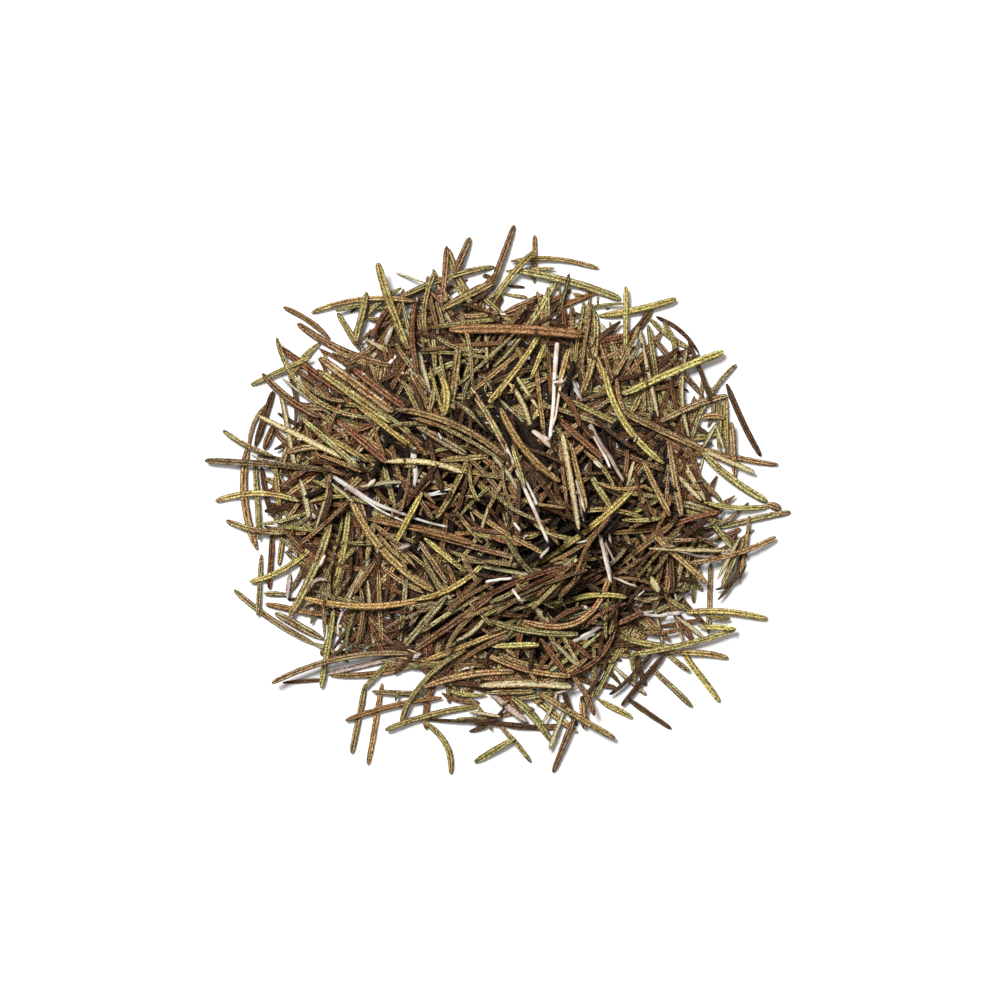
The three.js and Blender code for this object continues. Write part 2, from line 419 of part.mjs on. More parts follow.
// Raises a settled leaf until it cuts nothing but its partners. Gives back the partners that it is fused to.
function clearAndJoin(leaf, partners, laid) {
  for (let raise = 0; raise <= mostRaises; raise += 1) {
    shapeLeaf(leaf);
    if (!cutBy(leaf, partners, laid).length) {
      const joined = partners.filter((clump) => sharedVolume(leaf, clump) > leastJoin);
      const loose = partners.some((clump) => !joined.includes(clump) && sharedVolume(leaf, clump) > 0);
      return loose ? [] : joined;
    }
    leaf.z0 += raiseStep;
    leaf.z1 += raiseStep;
  }
  return [];
}

// The clumps that a leaf may be fused to where it lies, the best first.
function freeClumps(leaf, supports, taken) {
  const family = kinds[leaf.kind].family;
  const rank = (clump) => (clump.length === 1 ? 0 : 2) + (kinds[clump[0].kind].family === family ? 0 : 1);
  const clumps = new Set(supports.filter((other) => !other.separate).map((other) => other.clump));
  const gathered = taken.reduce((sum, clump) => sum + clump.length, 0);
  const fitting = [...clumps].filter((clump) => !taken.includes(clump) && gathered + clump.length < mostInClump);
  return fitting.sort((a, b) => rank(a) - rank(b));
}

// Sinks a leaf into a clump under it, and into what then holds it up, and gives back what it is fused to.
function sinkInto(leaf, stations, clump, laid) {
  for (const depth of sinkDepths) {
    const partners = [clump];
    let supports = settle(leaf, stations, partners, depth);
    for (let more = freeClumps(leaf, supports, partners); more.length; ) {
      partners.push(more[0]);
      supports = settle(leaf, stations, partners, depth);
      more = freeClumps(leaf, supports, partners);
    }
    const joined = clearAndJoin(leaf, partners, laid);
    if (joined.length) return joined;
  }
  return [];
}

function joinClumps(leaf, partners) {
  leaf.clump = [leaf];
  for (const partner of partners) {
    for (const member of partner) {
      leaf.clump.push(member);
      member.clump = leaf.clump;
    }
  }
}

// Lays one leaf on those before it.
function layLeaf(row, laid, separate) {
  const leaf = leafFrom(row);
  leaf.separate = separate;
  leaf.section = separate ? roundSection : plainSection;
  const stations = stationsOf(leaf);
  const supports = settle(leaf, stations, [], 0);
  let joined = [];
  for (const clump of separate ? [] : freeClumps(leaf, supports, [])) {
    joined = sinkInto(leaf, stations, clump, laid);
    if (joined.length) break;
  }
  if (!joined.length) {
    settle(leaf, stations, [], 0);
    clearAndJoin(leaf, [], laid);
  }
  joinClumps(leaf, joined);
  markTop(leaf, stations);
  laid.push(leaf);
}

// Tries to lift one end of a lone leaf, or both, into what lies just over it, so that it is fused there.
function liftIntoClump(leaf, laid) {
  const [z0, z1] = [leaf.z0, leaf.z1];
  for (const lift of lifts) {
    for (const [up0, up1] of [[lift, 0], [0, lift], [lift, lift]]) {
      leaf.z0 = z0 + up0;
      leaf.z1 = z1 + up1;
      shapeLeaf(leaf);
      const touched = laid.filter((other) => other !== leaf && boxesMeet(leaf.box, other.box));
      const cut = touched.filter((other) => leaf.solid.intersect(other.solid).volume() > leastCut);
      const clumps = [...new Set(cut.map((other) => other.clump))];
      const firm = clumps.length && clumps.every((clump) => sharedVolume(leaf, clump) > leastJoin);
      const gathered = clumps.reduce((sum, clump) => sum + clump.length, 0);
      if (firm && gathered < mostInClump && cut.every((other) => !other.separate)) {
        joinClumps(leaf, clumps);
        return;
      }
    }
  }
  leaf.z0 = z0;
  leaf.z1 = z1;
  shapeLeaf(leaf);
}

function staysSeparate([x0, y0, x1, y1, , , kind]) {
  const length = Math.sqrt((x1 - x0) ** 2 + (y1 - y0) ** 2);
  return length >= (kind === "stem" ? longStem : longLeaf);
}

function layHeap() {
  const laid = [];
  layLeaf(restingLeaf, laid, false);
  for (let i = 0; i < lowerLeafCount; i += 1) layLeaf(drawLowerLeaf(), laid, false);
  for (const row of rimLeaves) layLeaf(row, laid, false);
  for (const row of middleLeaves) layLeaf(row, laid, row[6] === "stem" && staysSeparate(row));
  for (const row of topLeaves) layLeaf(row, laid, staysSeparate(row));
  for (const leaf of laid) if (leaf.clump.length === 1 && !leaf.separate) liftIntoClump(leaf, laid);
  return laid.filter((leaf) => leaf.clump.length > 1 || leaf.separate || leaf.length >= shortestLone);
}

// Fuses the leaves of a clump into one body.
function fuse(clump) {
  const joined = wasm.Manifold.union(clump.map((leaf) => leaf.solid)).simplify(fuseTolerance);
  return joined.decompose().sort((a, b) => b.volume() - a.volume())[0];
}

function meshOf(solid, name, kind) {
  const { numProp, vertProperties, triVerts } = solid.getMesh();
  const positions = new Float32Array((vertProperties.length / numProp) * 3);
  for (let i = 0; i < positions.length / 3; i += 1) {
    positions.set(vertProperties.subarray(i * numProp, i * numProp + 3), i * 3);
  }
  const geometry = new THREE.BufferGeometry();
  geometry.setAttribute("position", new THREE.BufferAttribute(positions, 3));
  geometry.setIndex(new THREE.BufferAttribute(triVerts, 1));
  geometry.computeVertexNormals();
  const material = new THREE.MeshStandardMaterial({
    color: kinds[kind].colour,
    roughness: 0.8,
    metalness: 0,
    flatShading: true,
  });
  const mesh = new THREE.Mesh(geometry, material);
  mesh.name = name;
  return mesh;
}

// The kind that most of a clump's leaves are of.
function commonKind(clump) {
  const counts = {};
  for (const { kind } of clump) counts[kind] = (counts[kind] ?? 0) + 1;
  return Object.keys(counts).sort((a, b) => counts[b] - counts[a])[0];
}

// Clumps are named in the order in which their first leaf was laid, separate pieces after their kind.
function nameFor(clump, counters) {
  let base = "leaf_clump";
  if (clump.length === 1) {
    const [{ kind }] = clump;
    base = kind === "stem" ? "stem_splinter" : `${kind}_leaf`;
  }
  counters[base] = (counters[base] ?? 0) + 1;
  return `${base}_${String(counters[base]).padStart(2, "0")}`;
}

const heap = new THREE.Group();
const counters = {};
for (const clump of new Set(layHeap().map((leaf) => leaf.clump))) {
  heap.add(meshOf(fuse(clump), nameFor(clump, counters), commonKind(clump)));
}

export default heap;
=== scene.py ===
# A loose heap of dried rosemary leaves with a few pale stem splinters.
# Each leaf that has a solid lies where the imported model has it. Its fine mesh keeps the solid's line, is as
# slim as the leaf in the photograph, and has the rolled edges, the groove and the pale woolly underside.
# More leaves and crumbs, too many for solids, fill the heap, cover the paper under it and lie on top. Those
# inside the heap and on the paper under it are darkened as painted shade.
# Lengths are in millimetres until a mesh is made, which is in metres.

import math

import bpy
import numpy as np
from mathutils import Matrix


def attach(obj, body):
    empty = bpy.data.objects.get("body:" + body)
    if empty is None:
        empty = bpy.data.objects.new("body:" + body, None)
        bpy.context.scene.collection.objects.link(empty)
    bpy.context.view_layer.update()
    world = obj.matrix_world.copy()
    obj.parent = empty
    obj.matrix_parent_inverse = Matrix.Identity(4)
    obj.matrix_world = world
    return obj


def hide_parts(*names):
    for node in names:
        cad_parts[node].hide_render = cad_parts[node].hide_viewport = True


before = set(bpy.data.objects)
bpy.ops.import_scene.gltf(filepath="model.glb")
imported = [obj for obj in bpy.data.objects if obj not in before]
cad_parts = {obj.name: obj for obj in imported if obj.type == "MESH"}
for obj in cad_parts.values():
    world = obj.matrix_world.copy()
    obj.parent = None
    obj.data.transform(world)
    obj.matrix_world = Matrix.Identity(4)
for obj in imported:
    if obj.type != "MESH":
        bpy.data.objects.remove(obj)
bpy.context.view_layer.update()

MM = 0.001

# What the photograph takes in of the surface.
FRAME_WIDTH = 160.0
FRAME_MIDDLE = (0.32, -0.08)
FOCUS_HEIGHT = 2.0
LENS = 100.0
SENSOR = 36.0

# The shape of the solids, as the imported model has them, and the rule by which leaves settle.
TIP_LENGTH = 0.8
THICKNESS_SHARE = 0.62
THINNEST = 0.6
NARROWEST = 0.75
BOW_STEP = 0.2
REST_GAP = 0.16
MOST_SLOPE = 0.3
TIP_LEFT_OUT = 0.4
TIP_LEFT_OUT_SHARE = 0.2  # of a short leaf's length
EDGE_DROP = 0.6
LONG_LEAF = 18.0
LONG_STEM = 5.0
PLAIN_SECTION = [(-1.0, 0.0), (1.0, 0.0), (0.0, 1.0)]
ROUND_SECTION = [(-0.7, 0.0), (0.7, 0.0), (1.0, 0.5), (0.4, 1.0), (-0.4, 1.0), (-1.0, 0.5)]

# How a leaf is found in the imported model.
MATCH = 0.006  # within which a corner of the model counts as a leaf's corner
LINE_MATCH = 0.03  # within which two corners agree on how a leaf slopes
LEAST_SPAN = 0.1  # the share of the length between two corners that give a slope
SLOPE_SLACK = 1.1

# The unseen lower leaves, as for the solids.
LOWER_LEAF_COUNT = 170
LOWER_REACH = 35.0
LOWER_CROWDING = 0.45
LOWER_LENGTHS = (7.0, 15.0)
LOWER_WIDTHS = (0.9, 1.3)
LOWER_BOW = 1.2
LOWER_KINDS = ["olive", "brown", "gold", "dark", "olive", "brown", "russet", "lime"]
LOWER_SEED = 7

# The lights, with their powers in watts, and the paper.
WORLD_STRENGTH = 0.2
KEY_PLACE = (-350.0, 450.0, 800.0)
KEY_SIZE = 350.0
KEY_POWER = 15.0
SOFT_PLACE = (600.0, -400.0, 700.0)
SOFT_SIZE = 800.0
SOFT_POWER = 1.5
FLOOR_HALF = 1500.0

# Maps of the heap: its height cell by cell, and which small boxes of space are taken.
MAP_HALF = 50.0
CELL = 0.25
SAMPLE_STEP = 0.2
BOX_SIDE = 0.25
BOX_HEIGHT = 0.2
BOX_EDGE_DROP = 0.5
SPACE_HEIGHT = 12.0

# The leaves that fill the heap between those with solids.
FILL_TRIES = 16000
FILL_COUNT = 1100
FILL_REACH = (41.5, 37.5)  # of both ends, along X and Y
FILL_LENGTHS = (6.0, 14.0)
FILL_WIDTHS = (0.55, 1.0)
FILL_SLOPE = 0.16
FILL_BOW = 0.8
FILL_SEEN_SHARE = 0.12  # of a filling leaf that may lie over a leaf that the photograph shows
FILL_SHADE_DIMMING = 0.78  # how bright they are beside the seen leaves: darker, as painted shade for lying inside the heap
FILL_SQUEEZE = 0.22  # of a leaf's boxes that may be taken already
CEILING_REACH = 3.0  # how far round it a seen leaf lets the filling rise to its own height
# Weighted to the darker kinds, partly as painted shade inside the heap.
FILL_KINDS = [
    "olive", "brown", "dark", "gold", "brown", "gold", "olive",
    "dark", "brown", "pale", "lime", "olive", "dark", "russet",
]
SHADE_DEPTH = 1.6  # how far under the top of the heap the filling leaves take the darkest kinds, as painted shade
SHADE_KINDS = ["deep", "deep", "dark"]

# Leaves on the paper, where it would still show through the heap. Dimmed and mostly dark, they are also a
# painted shade over the paper there.
COVER_REACH = (34.0, 30.5)
COVER_TRIES = 700
COVER_LENGTHS = (5.0, 9.0)
COVER_WIDTHS = (0.7, 1.1)
COVER_RISE = 0.7  # the most that either end is off the paper
COVER_KINDS = ["deep", "dark", "brown", "deep", "olive", "dark", "gold", "russet"]
LIT_RIM = 0.85  # the share of that reach beyond which no leaf takes the darkest kind, the painted shade

# Where the photograph shows bare paper between the leaves near the rim, kept open within this radius.
GAPS = [
    (-35, -13), (-36, -9), (33.5, 5), (36.5, 1.5), (39, 8), (32.5, -14.5),
    (35, -11), (27, -18.5), (-13, -28.5), (-17, -29.3), (-1, -32.7),
]
GAP_RADIUS = 1.2

# Strands that split off the stem splinters longer than this, with shares of their length, width and bow.
STRAND_STEM = 4.0
STRAND_SHARES = (0.5, 0.8)
STRAND_WIDTH = 0.6
STRAND_BOW = 0.5
STRAND_ANGLES = (0.07, 0.2)  # radians
STRAND_RISE = 0.1

# Crumbs on the heap.
CRUMB_COUNT = 150
CRUMB_REACH = (36.0, 36.0)
CRUMB_LENGTHS = (0.5, 1.8)
CRUMB_WIDTHS = (0.35, 0.7)
CRUMB_KINDS = ["brown", "dark", "olive", "gold", "pale", "stem", "olive", "brown", "gold"]

# The fine mesh of a leaf: the spacing of its rings, and how far it may stray from its solid.
RING_STEP = 0.55
FILL_RING_STEP = 0.9
CALM_LENGTH = 8.0  # a shorter leaf strays less
WOBBLE = 0.08
STEM_WOBBLE = 0.3
ARCHES = (-0.2, 1.0)
ARCH = 0.16
ROLL = 0.2  # radians
TWIST = 0.35
LUMPS = 0.03
LEAST_WIDTH = 0.4
LEAST_BIT_WIDTH = 0.3
FINE_THICKNESS_SHARE = 0.8  # the most that a fine leaf is thick beside its width
LOWEST = 0.02
LEAF_UNEVEN = 0.07
STEM_UNEVEN = 0.32
STEM_SLIMNESS = (0.6, 0.95)
STEM_RAGGED = 0.6
BELLY = 0.18  # how much slimmer a leaf is toward its ends
SEED = 11

# How the colour of one leaf differs from the next.
BRIGHTNESS_SPREAD = 0.14
BRIGHTNESS_LIMITS = (0.6, 1.4)
WARMTH_SPREAD = 0.05
STEM_BROWNING = (0.3, 0.42, 0.55)
PATTERN_SHIFT = 200.0

# The section of a leaf from its left edge over the groove in its middle to its right edge, and back under the
# rolled edges and the woolly band: (part of the half width, part of the thickness, part of the wool).
LEAF_SECTION = [
    (-1.0, 0.50, 0), (-0.92, 0.74, 0), (-0.70, 0.93, 0), (-0.42, 1.0, 0), (-0.14, 0.86, 0), (0.0, 0.70, 0),
    (0.14, 0.86, 0), (0.42, 1.0, 0), (0.70, 0.93, 0), (0.92, 0.74, 0), (1.0, 0.50, 0),
    (0.90, 0.18, 0), (0.62, 0.0, 0), (0.36, 0.12, 0.5), (0.16, 0.30, 1), (0.0, 0.24, 1),
    (-0.16, 0.30, 1), (-0.36, 0.12, 0.5), (-0.62, 0.0, 0), (-0.90, 0.18, 0),
]
STEM_SECTION = [
    (-1.0, 0.45, 0), (-0.75, 0.85, 0), (-0.3, 0.92, 0), (0.0, 1.0, 0), (0.45, 0.88, 0), (0.85, 0.72, 0),
    (1.0, 0.4, 0), (0.7, 0.1, 0), (0.2, 0.0, 0), (-0.3, 0.06, 0), (-0.8, 0.12, 0),
]
UPPER_SIDE = 0.6  # the part of the thickness over which the upper side begins
# How wide a leaf is near its base and near its tip: (distance from the end, part of the full width).
BASE_PROFILE = [(0.0, 0.3), (0.12, 0.45), (0.35, 0.55), (0.8, 0.74), (1.5, 0.93), (2.4, 1.0)]
TIP_PROFILE = [(0.0, 0.22), (0.12, 0.5), (0.35, 0.75), (0.8, 0.91), (1.5, 1.0)]
STEM_PROFILE = [(0.0, 0.72), (0.3, 0.95), (0.7, 1.0)]

# For each kind: the colour of its leaf and of its woolly band, and its colour family.
KINDS = {
    "lime": (0x958A4C, 0xC9BF98, "green"),
    "olive": (0x807340, 0xB8AC86, "green"),
    "gold": (0x8B7142, 0xBFAC88, "brown"),
    "brown": (0x72542F, 0xA08C70, "brown"),
    "orange": (0x85603A, 0xB3916E, "brown"),
    "russet": (0x6C472B, 0x957868, "dark"),
    "dark": (0x4E3720, 0x7F7066, "dark"),
    "pale": (0x8C7D4A, 0xCFC5A4, "pale"),
    "lilac": (0x7F6E60, 0xBFB1AB, "pale"),
    # The darkest kind is painted shade, given to leaves deep in the heap and on the paper under it.
    "deep": (0x20150A, 0x2E2418, "dark"),
    "stem": (0xEDE6DB, 0xEDE6DB, "stem"),
}
UNDERSIDE_UP = ["pale", "lilac"]
SLOTS = {
    "green": "dried_leaf_green",
    "brown": "dried_leaf_brown",
    "dark": "dried_leaf_dark",
    "pale": "dried_leaf_pale",
    "stem": "dried_stem",
}

# What a leaf's own colour is multiplied by where it is browned, in the light and dark of its mottle (partly
# painted highlight and shade), in its dust with painted highlight, and in painted shade.
BROWNED = (0.78, 0.54, 0.42)
LIGHT = (1.95, 1.97, 2.0)
DARK = (0.27, 0.22, 0.18)
DUST_AND_HIGHLIGHT = (3.0, 3.1, 3.4)
SHADED = (0.3, 0.24, 0.2)
CREAM = (0.9, 0.82, 0.62, 1.0)  # the pale colour of the dust and its painted highlight, mixed in most on the palest leaves

# What each point of a fine mesh tells its material.
ATTRIBUTES = {
    "leaf_colour": ("FLOAT_COLOR", "color"),
    "wool_colour": ("FLOAT_COLOR", "color"),
    "leaf_place": ("FLOAT_VECTOR", "vector"),  # across the section, along the leaf, and 1 on the woolly band
    "upper": ("FLOAT", "value"),
    "from_end": ("FLOAT", "value"),
    "leaf_draw": ("FLOAT", "value"),
}

# The leaves in plan, read from the photograph: x and y of the base, x and y of the tip, how far the
# middle stands to the left of the line between them, the width and the kind. They lie in this order.
RIM_LEAVES = """
-24.5 16.8 -35.1 24.4 0 1.2 russet, -13.4 31.7 -30 30 -1.2 0.9 olive, -17.8 30.4 -26 30.2 -0.7 0.8 olive,
-0.6 37.4 -15.5 32.4 -0.7 1 olive, -7 36 -4.5 42.1 0 1.2 brown, -11.6 34.7 -16.4 36.4 0 0.35 pale,
5.8 34.8 5.9 42.5 0 0.9 brown, 1.2 36.7 9.1 37.1 0 0.6 olive, 7.6 30 16 33.4 0 1 brown,
0.9 33 4.7 32.5 0 0.6 olive, 1.5 34.3 4.3 34.1 0 0.5 dark, 12 27 10.3 30.2 0 0.7 brown,
33 16.5 25.1 25.7 0 1 brown, -29.8 22.9 -39.7 18.4 0 0.9 olive, -39 8.6 -36.1 17.4 0 1.1 dark,
-32.3 4 -34.9 17.1 0 0.8 pale, -25.5 7.3 -34 7.4 -1 1 gold, -38.7 -8 -40.2 8.4 1.3 1.2 gold,
-38.3 -6.5 -39 6 0 0.9 olive, -36.8 -2 -38 5.2 0 0.9 dark, -35 -3 -35.6 5.2 0 0.9 olive,
-36 12 -37.6 8.1 0 1.2 brown, -28.5 4.6 -34 0.6 0 1 gold, -27.6 10.2 -20.8 6.1 0 1 olive,
-10.9 14 -10.2 18 0 1 olive, 31 9.2 38.3 21.7 1.2 0.8 olive, 31.5 8.6 45 5.6 -0.4 0.9 gold,
36.6 7.6 36.6 16.4 0 0.9 olive, 35.4 8 35.6 15.8 0 1 olive, 38.1 3.2 37.4 12.4 0 1 gold,
29.6 10.4 29.4 19.8 0 0.8 brown, 35.2 3.8 32.9 -0.4 0 0.8 dark, 33 7 31.6 2.3 0 0.6 pale,
30.2 8 31.9 2.6 0 0.8 dark, -34.6 -29.4 -27.5 -28.9 0 0.6 dark, -21.3 -29.6 -23.5 -40.8 0 1 olive,
-18.6 -29.5 -20.9 -42.6 0 0.9 gold, -12 -35.6 -7.6 -44.1 1.5 1 olive, -20.3 -30.8 -12.6 -31.2 0 0.9 olive,
-29.3 -23.3 -42.4 -14.5 0.6 1 olive, -27.6 -18.6 -37.4 -16.8 0 1 brown, -28 -22.4 -35.8 -18.2 0 1.2 olive,
-33.8 -15.3 -37.6 -15.1 0 0.9 olive, -38 -8.8 -38.6 -18.7 0 0.8 olive, -36.3 -5.6 -36.7 -14.4 0 1 russet,
-34.6 -5.8 -35.2 -10.6 0 0.9 olive, -33.4 -11.8 -33.8 -16 0 0.8 lilac, -19.2 -11.3 -18.7 -23 0 0.9 olive,
-1 -31.2 4.6 -35.6 0 1.2 lilac, 2.2 -31.6 8.6 -38.9 0.5 1.3 olive, 10.6 -33.6 8.2 -40.2 0 0.8 pale,
12.5 -34.4 8.8 -43.8 0 1 brown, 1.8 -37.6 5.3 -42.2 0 0.8 olive, -0.5 -35.5 2.6 -38.8 0 0.8 olive,
13.4 -31.5 13.9 -36.8 0 1.3 gold, 20.8 -32 27.8 -36.8 0 0.9 dark, 16 -32 21.6 -35.1 0 1 lime,
24.4 -26.8 31.2 -33.3 0 1 olive, 29.4 -24.2 35.6 -32.5 0 1.1 lime, 27 -24.8 30.8 -27.6 0 0.9 olive,
33.8 -21.6 34.2 -10.2 0 0.9 gold, 35.8 -14.1 39.4 -6.3 0 0.9 olive, 35.2 -12.8 38.6 -6.1 0 0.7 pale,
35.2 -4.6 47 -2 0.2 1 olive, 34.5 -6.6 39 -4.7 0 0.9 russet
"""

MIDDLE_LEAVES = """
-27 25.8 -34.5 30.9 -0.5 0.9 brown, -22.2 24 -25.8 30 0 1 olive, -22.9 24.8 -21 33.2 0 1.2 lime,
-10.6 23.5 -10 36.5 1.6 1 olive, -9 31 -8.2 40.7 0 1 brown, -9.1 30.4 -0.8 34.8 0 1.3 gold,
-18 25 -17 27.5 0 0.8 stem, -8.1 25.6 -9.9 31.8 0 0.8 olive, 2 38.2 16.2 37.1 0.9 0.8 olive,
2.6 36.7 19.7 32.2 0.6 1.3 lime, 0.9 29.9 7.3 32.8 0 1.1 brown, 12.2 21 13.8 31.8 0 0.7 olive,
16.2 29.5 28.6 32.2 -0.4 1.2 lime, 19.4 24.5 17.9 28.6 0 0.6 olive, 23.5 19.5 28.9 24.2 0 0.9 dark,
30.6 10 30.2 24.1 1 0.8 pale, -36 7 -44.2 11.1 0.4 0.9 olive, -38.4 13.4 -24.6 6.6 0 1 pale,
-31.8 3.4 -30 -5.4 0.3 1 pale, -13.2 8 -22.5 15.2 0 1.1 olive, -9.2 6.2 -1.5 6.9 0 1 lime,
-19.8 11.4 -17.9 5.6 0 0.9 brown, -18.4 6 -16.4 -1.5 0 1 lime, -26 13 -17.6 5.8 0 1.3 russet,
-19.8 5.7 -23.8 1.8 0 1.1 olive, -7.4 15.2 -6.3 24.5 0 1.3 gold, -10.1 20.2 -10.4 27.5 0 0.8 lime,
-19 18.2 -18 22.5 0 1.1 gold, -14.1 20.6 -16.4 16.1 0 0.6 olive, -3.8 17.6 4.6 24.6 0 1 gold,
9 15.5 11.4 24.5 0 1 gold, 8.5 16 8 25 0 0.8 brown, 7.4 10.2 6.1 21 0 0.8 gold,
5.2 19.2 7.4 24.6 0 0.8 lime, 2.8 20 6.4 14.6 0 0.7 pale, -0.2 16.5 4.6 11.9 0 0.6 pale,
9.8 9.8 11 -1 0 0.7 brown, 11.6 9 14 -1.5 0 1 gold, 18 20.6 16.4 25.6 0 1.2 orange,
13.4 15.9 11.7 19.6 0 0.6 stem, 15 6.5 13.6 4.2 0 0.5 stem, 2.6 8.6 4.9 1.8 0 0.7 brown,
8.6 2.8 6.4 -0.8 0 0.8 brown, 36.7 18.6 42.2 7 -0.3 1 dark, 26.5 10.6 41.2 4.3 0 1 pale,
32.8 7.4 43.2 -0.3 -0.5 1.3 lime, 32.4 12.9 36.4 13 0.5 1.1 gold, 35 12.2 32.9 8.4 0 0.7 pale,
35 12 36.2 8.2 0 0.5 pale, 27.8 13.9 26.2 18.4 0 0.9 lime, 21.2 13.6 23.2 17.4 0 1.2 olive,
28.2 8.4 33.2 -0.2 0 1 pale, 28.6 4 32.6 -0.2 0 0.9 pale, 17.5 8.6 26.6 4.6 0 0.9 brown,
20.8 8 20.2 2 0 0.9 brown, 21.9 6.4 20.6 2 0 0.7 pale, -18.7 -10.5 -10.8 -15 -0.7 0.9 gold,
-14.5 -4.6 3 -9.3 0 1 brown, -5.2 -2.2 -7.8 -4.6 0 0.9 lime, -11.8 -6.2 -5 -11.7 0 1 lime,
-13.2 -6 -8 -13.6 0 1 gold, -14.2 -24.9 -27.5 -28 0 0.9 lilac, -27 -28.2 -9 -25 -1 1 gold,
-12 -26 3 -20.2 0 1 gold, -17.5 -26 -21.8 -30.6 0 0.9 olive, -9 -31.8 -24.5 -35.5 -0.6 0.9 brown,
-3 -33.2 -18.1 -37 -0.6 1 olive, 2.8 -38.2 -3.8 -42.2 0 1.1 lime, -20.9 -13 -19.9 -24.2 0 0.7 pale,
-24.6 -17 -25.7 -21.8 0 0.5 stem, -19.8 -7.8 -24.9 -17.2 0 1 pale, -18.9 -8.5 -23.2 -15.2 0 1 brown,
-14.6 -12.6 -15.8 -23 0 1 olive, -9.2 -22.2 -9.8 -25 0 0.9 gold, -1.8 -13.1 0.4 -13.1 0 0.4 stem,
11.5 -2.3 23.1 -2.9 1 0.9 lime, 6 -1.7 11.8 -5 0 1 lime, 2 -5.3 6 -3.2 0 0.9 olive,
12.4 3 13.6 -3.4 0 0.5 stem, 16.6 -12 11.4 -15.3 0 1 russet, -1.5 -19.2 12.8 -21.4 -0.8 1 olive,
-1 -23.5 6.6 -23.2 0 1 lime, -2 -31 6 -30.9 0 0.9 olive, 6.3 -30.9 18.8 -38.3 0 1.1 gold,
18.4 -26.6 23.8 -31.4 0 0.8 pale, 26.8 -24.8 19.8 -33.1 0 0.9 dark, 29 -24.6 37 -25.5 0.4 1.1 lime,
20.8 -22.5 28.6 -23.9 0 1.1 lime, 28.4 -18.6 33 -22.2 0 0.8 pale, 28.6 -19.6 29.8 -23.2 0 0.5 pale,
26.8 -7.9 37.2 -8.3 0 0.6 stem, 33.2 -2.4 37.6 -7.8 0 0.9 lime, 33 -0.4 43.5 -1.1 -0.6 0.9 lime,
43.2 -0.7 45.4 -1.4 0 1.2 gold, 17.6 -5.4 26 -4.8 0 0.9 brown, -3 -10.6 5.4 -12 0 0.8 pale,
12 -22.7 17.4 -19.9 0 0.8 stem, 11.6 -22.6 15 -25.4 0 0.9 russet, 13.4 -27.4 15.4 -29.2 0 0.5 stem,
9.4 -31 13.6 -29.9 0 0.6 stem, 5.4 -16.6 8.2 -19.6 0 0.9 pale, 8.8 -22.6 12.8 -26.6 0 0.9 pale,
26.2 -15.2 30.2 -17.8 0 0.8 olive, 22 -16.4 26.8 -15.4 0 0.7 pale, 18.4 -14.6 24.6 -16.4 0 0.9 gold,
27.6 -8.6 28 -14.8 0 0.9 dark, 31.2 -12.2 31.4 -16.6 0 0.7 olive
"""

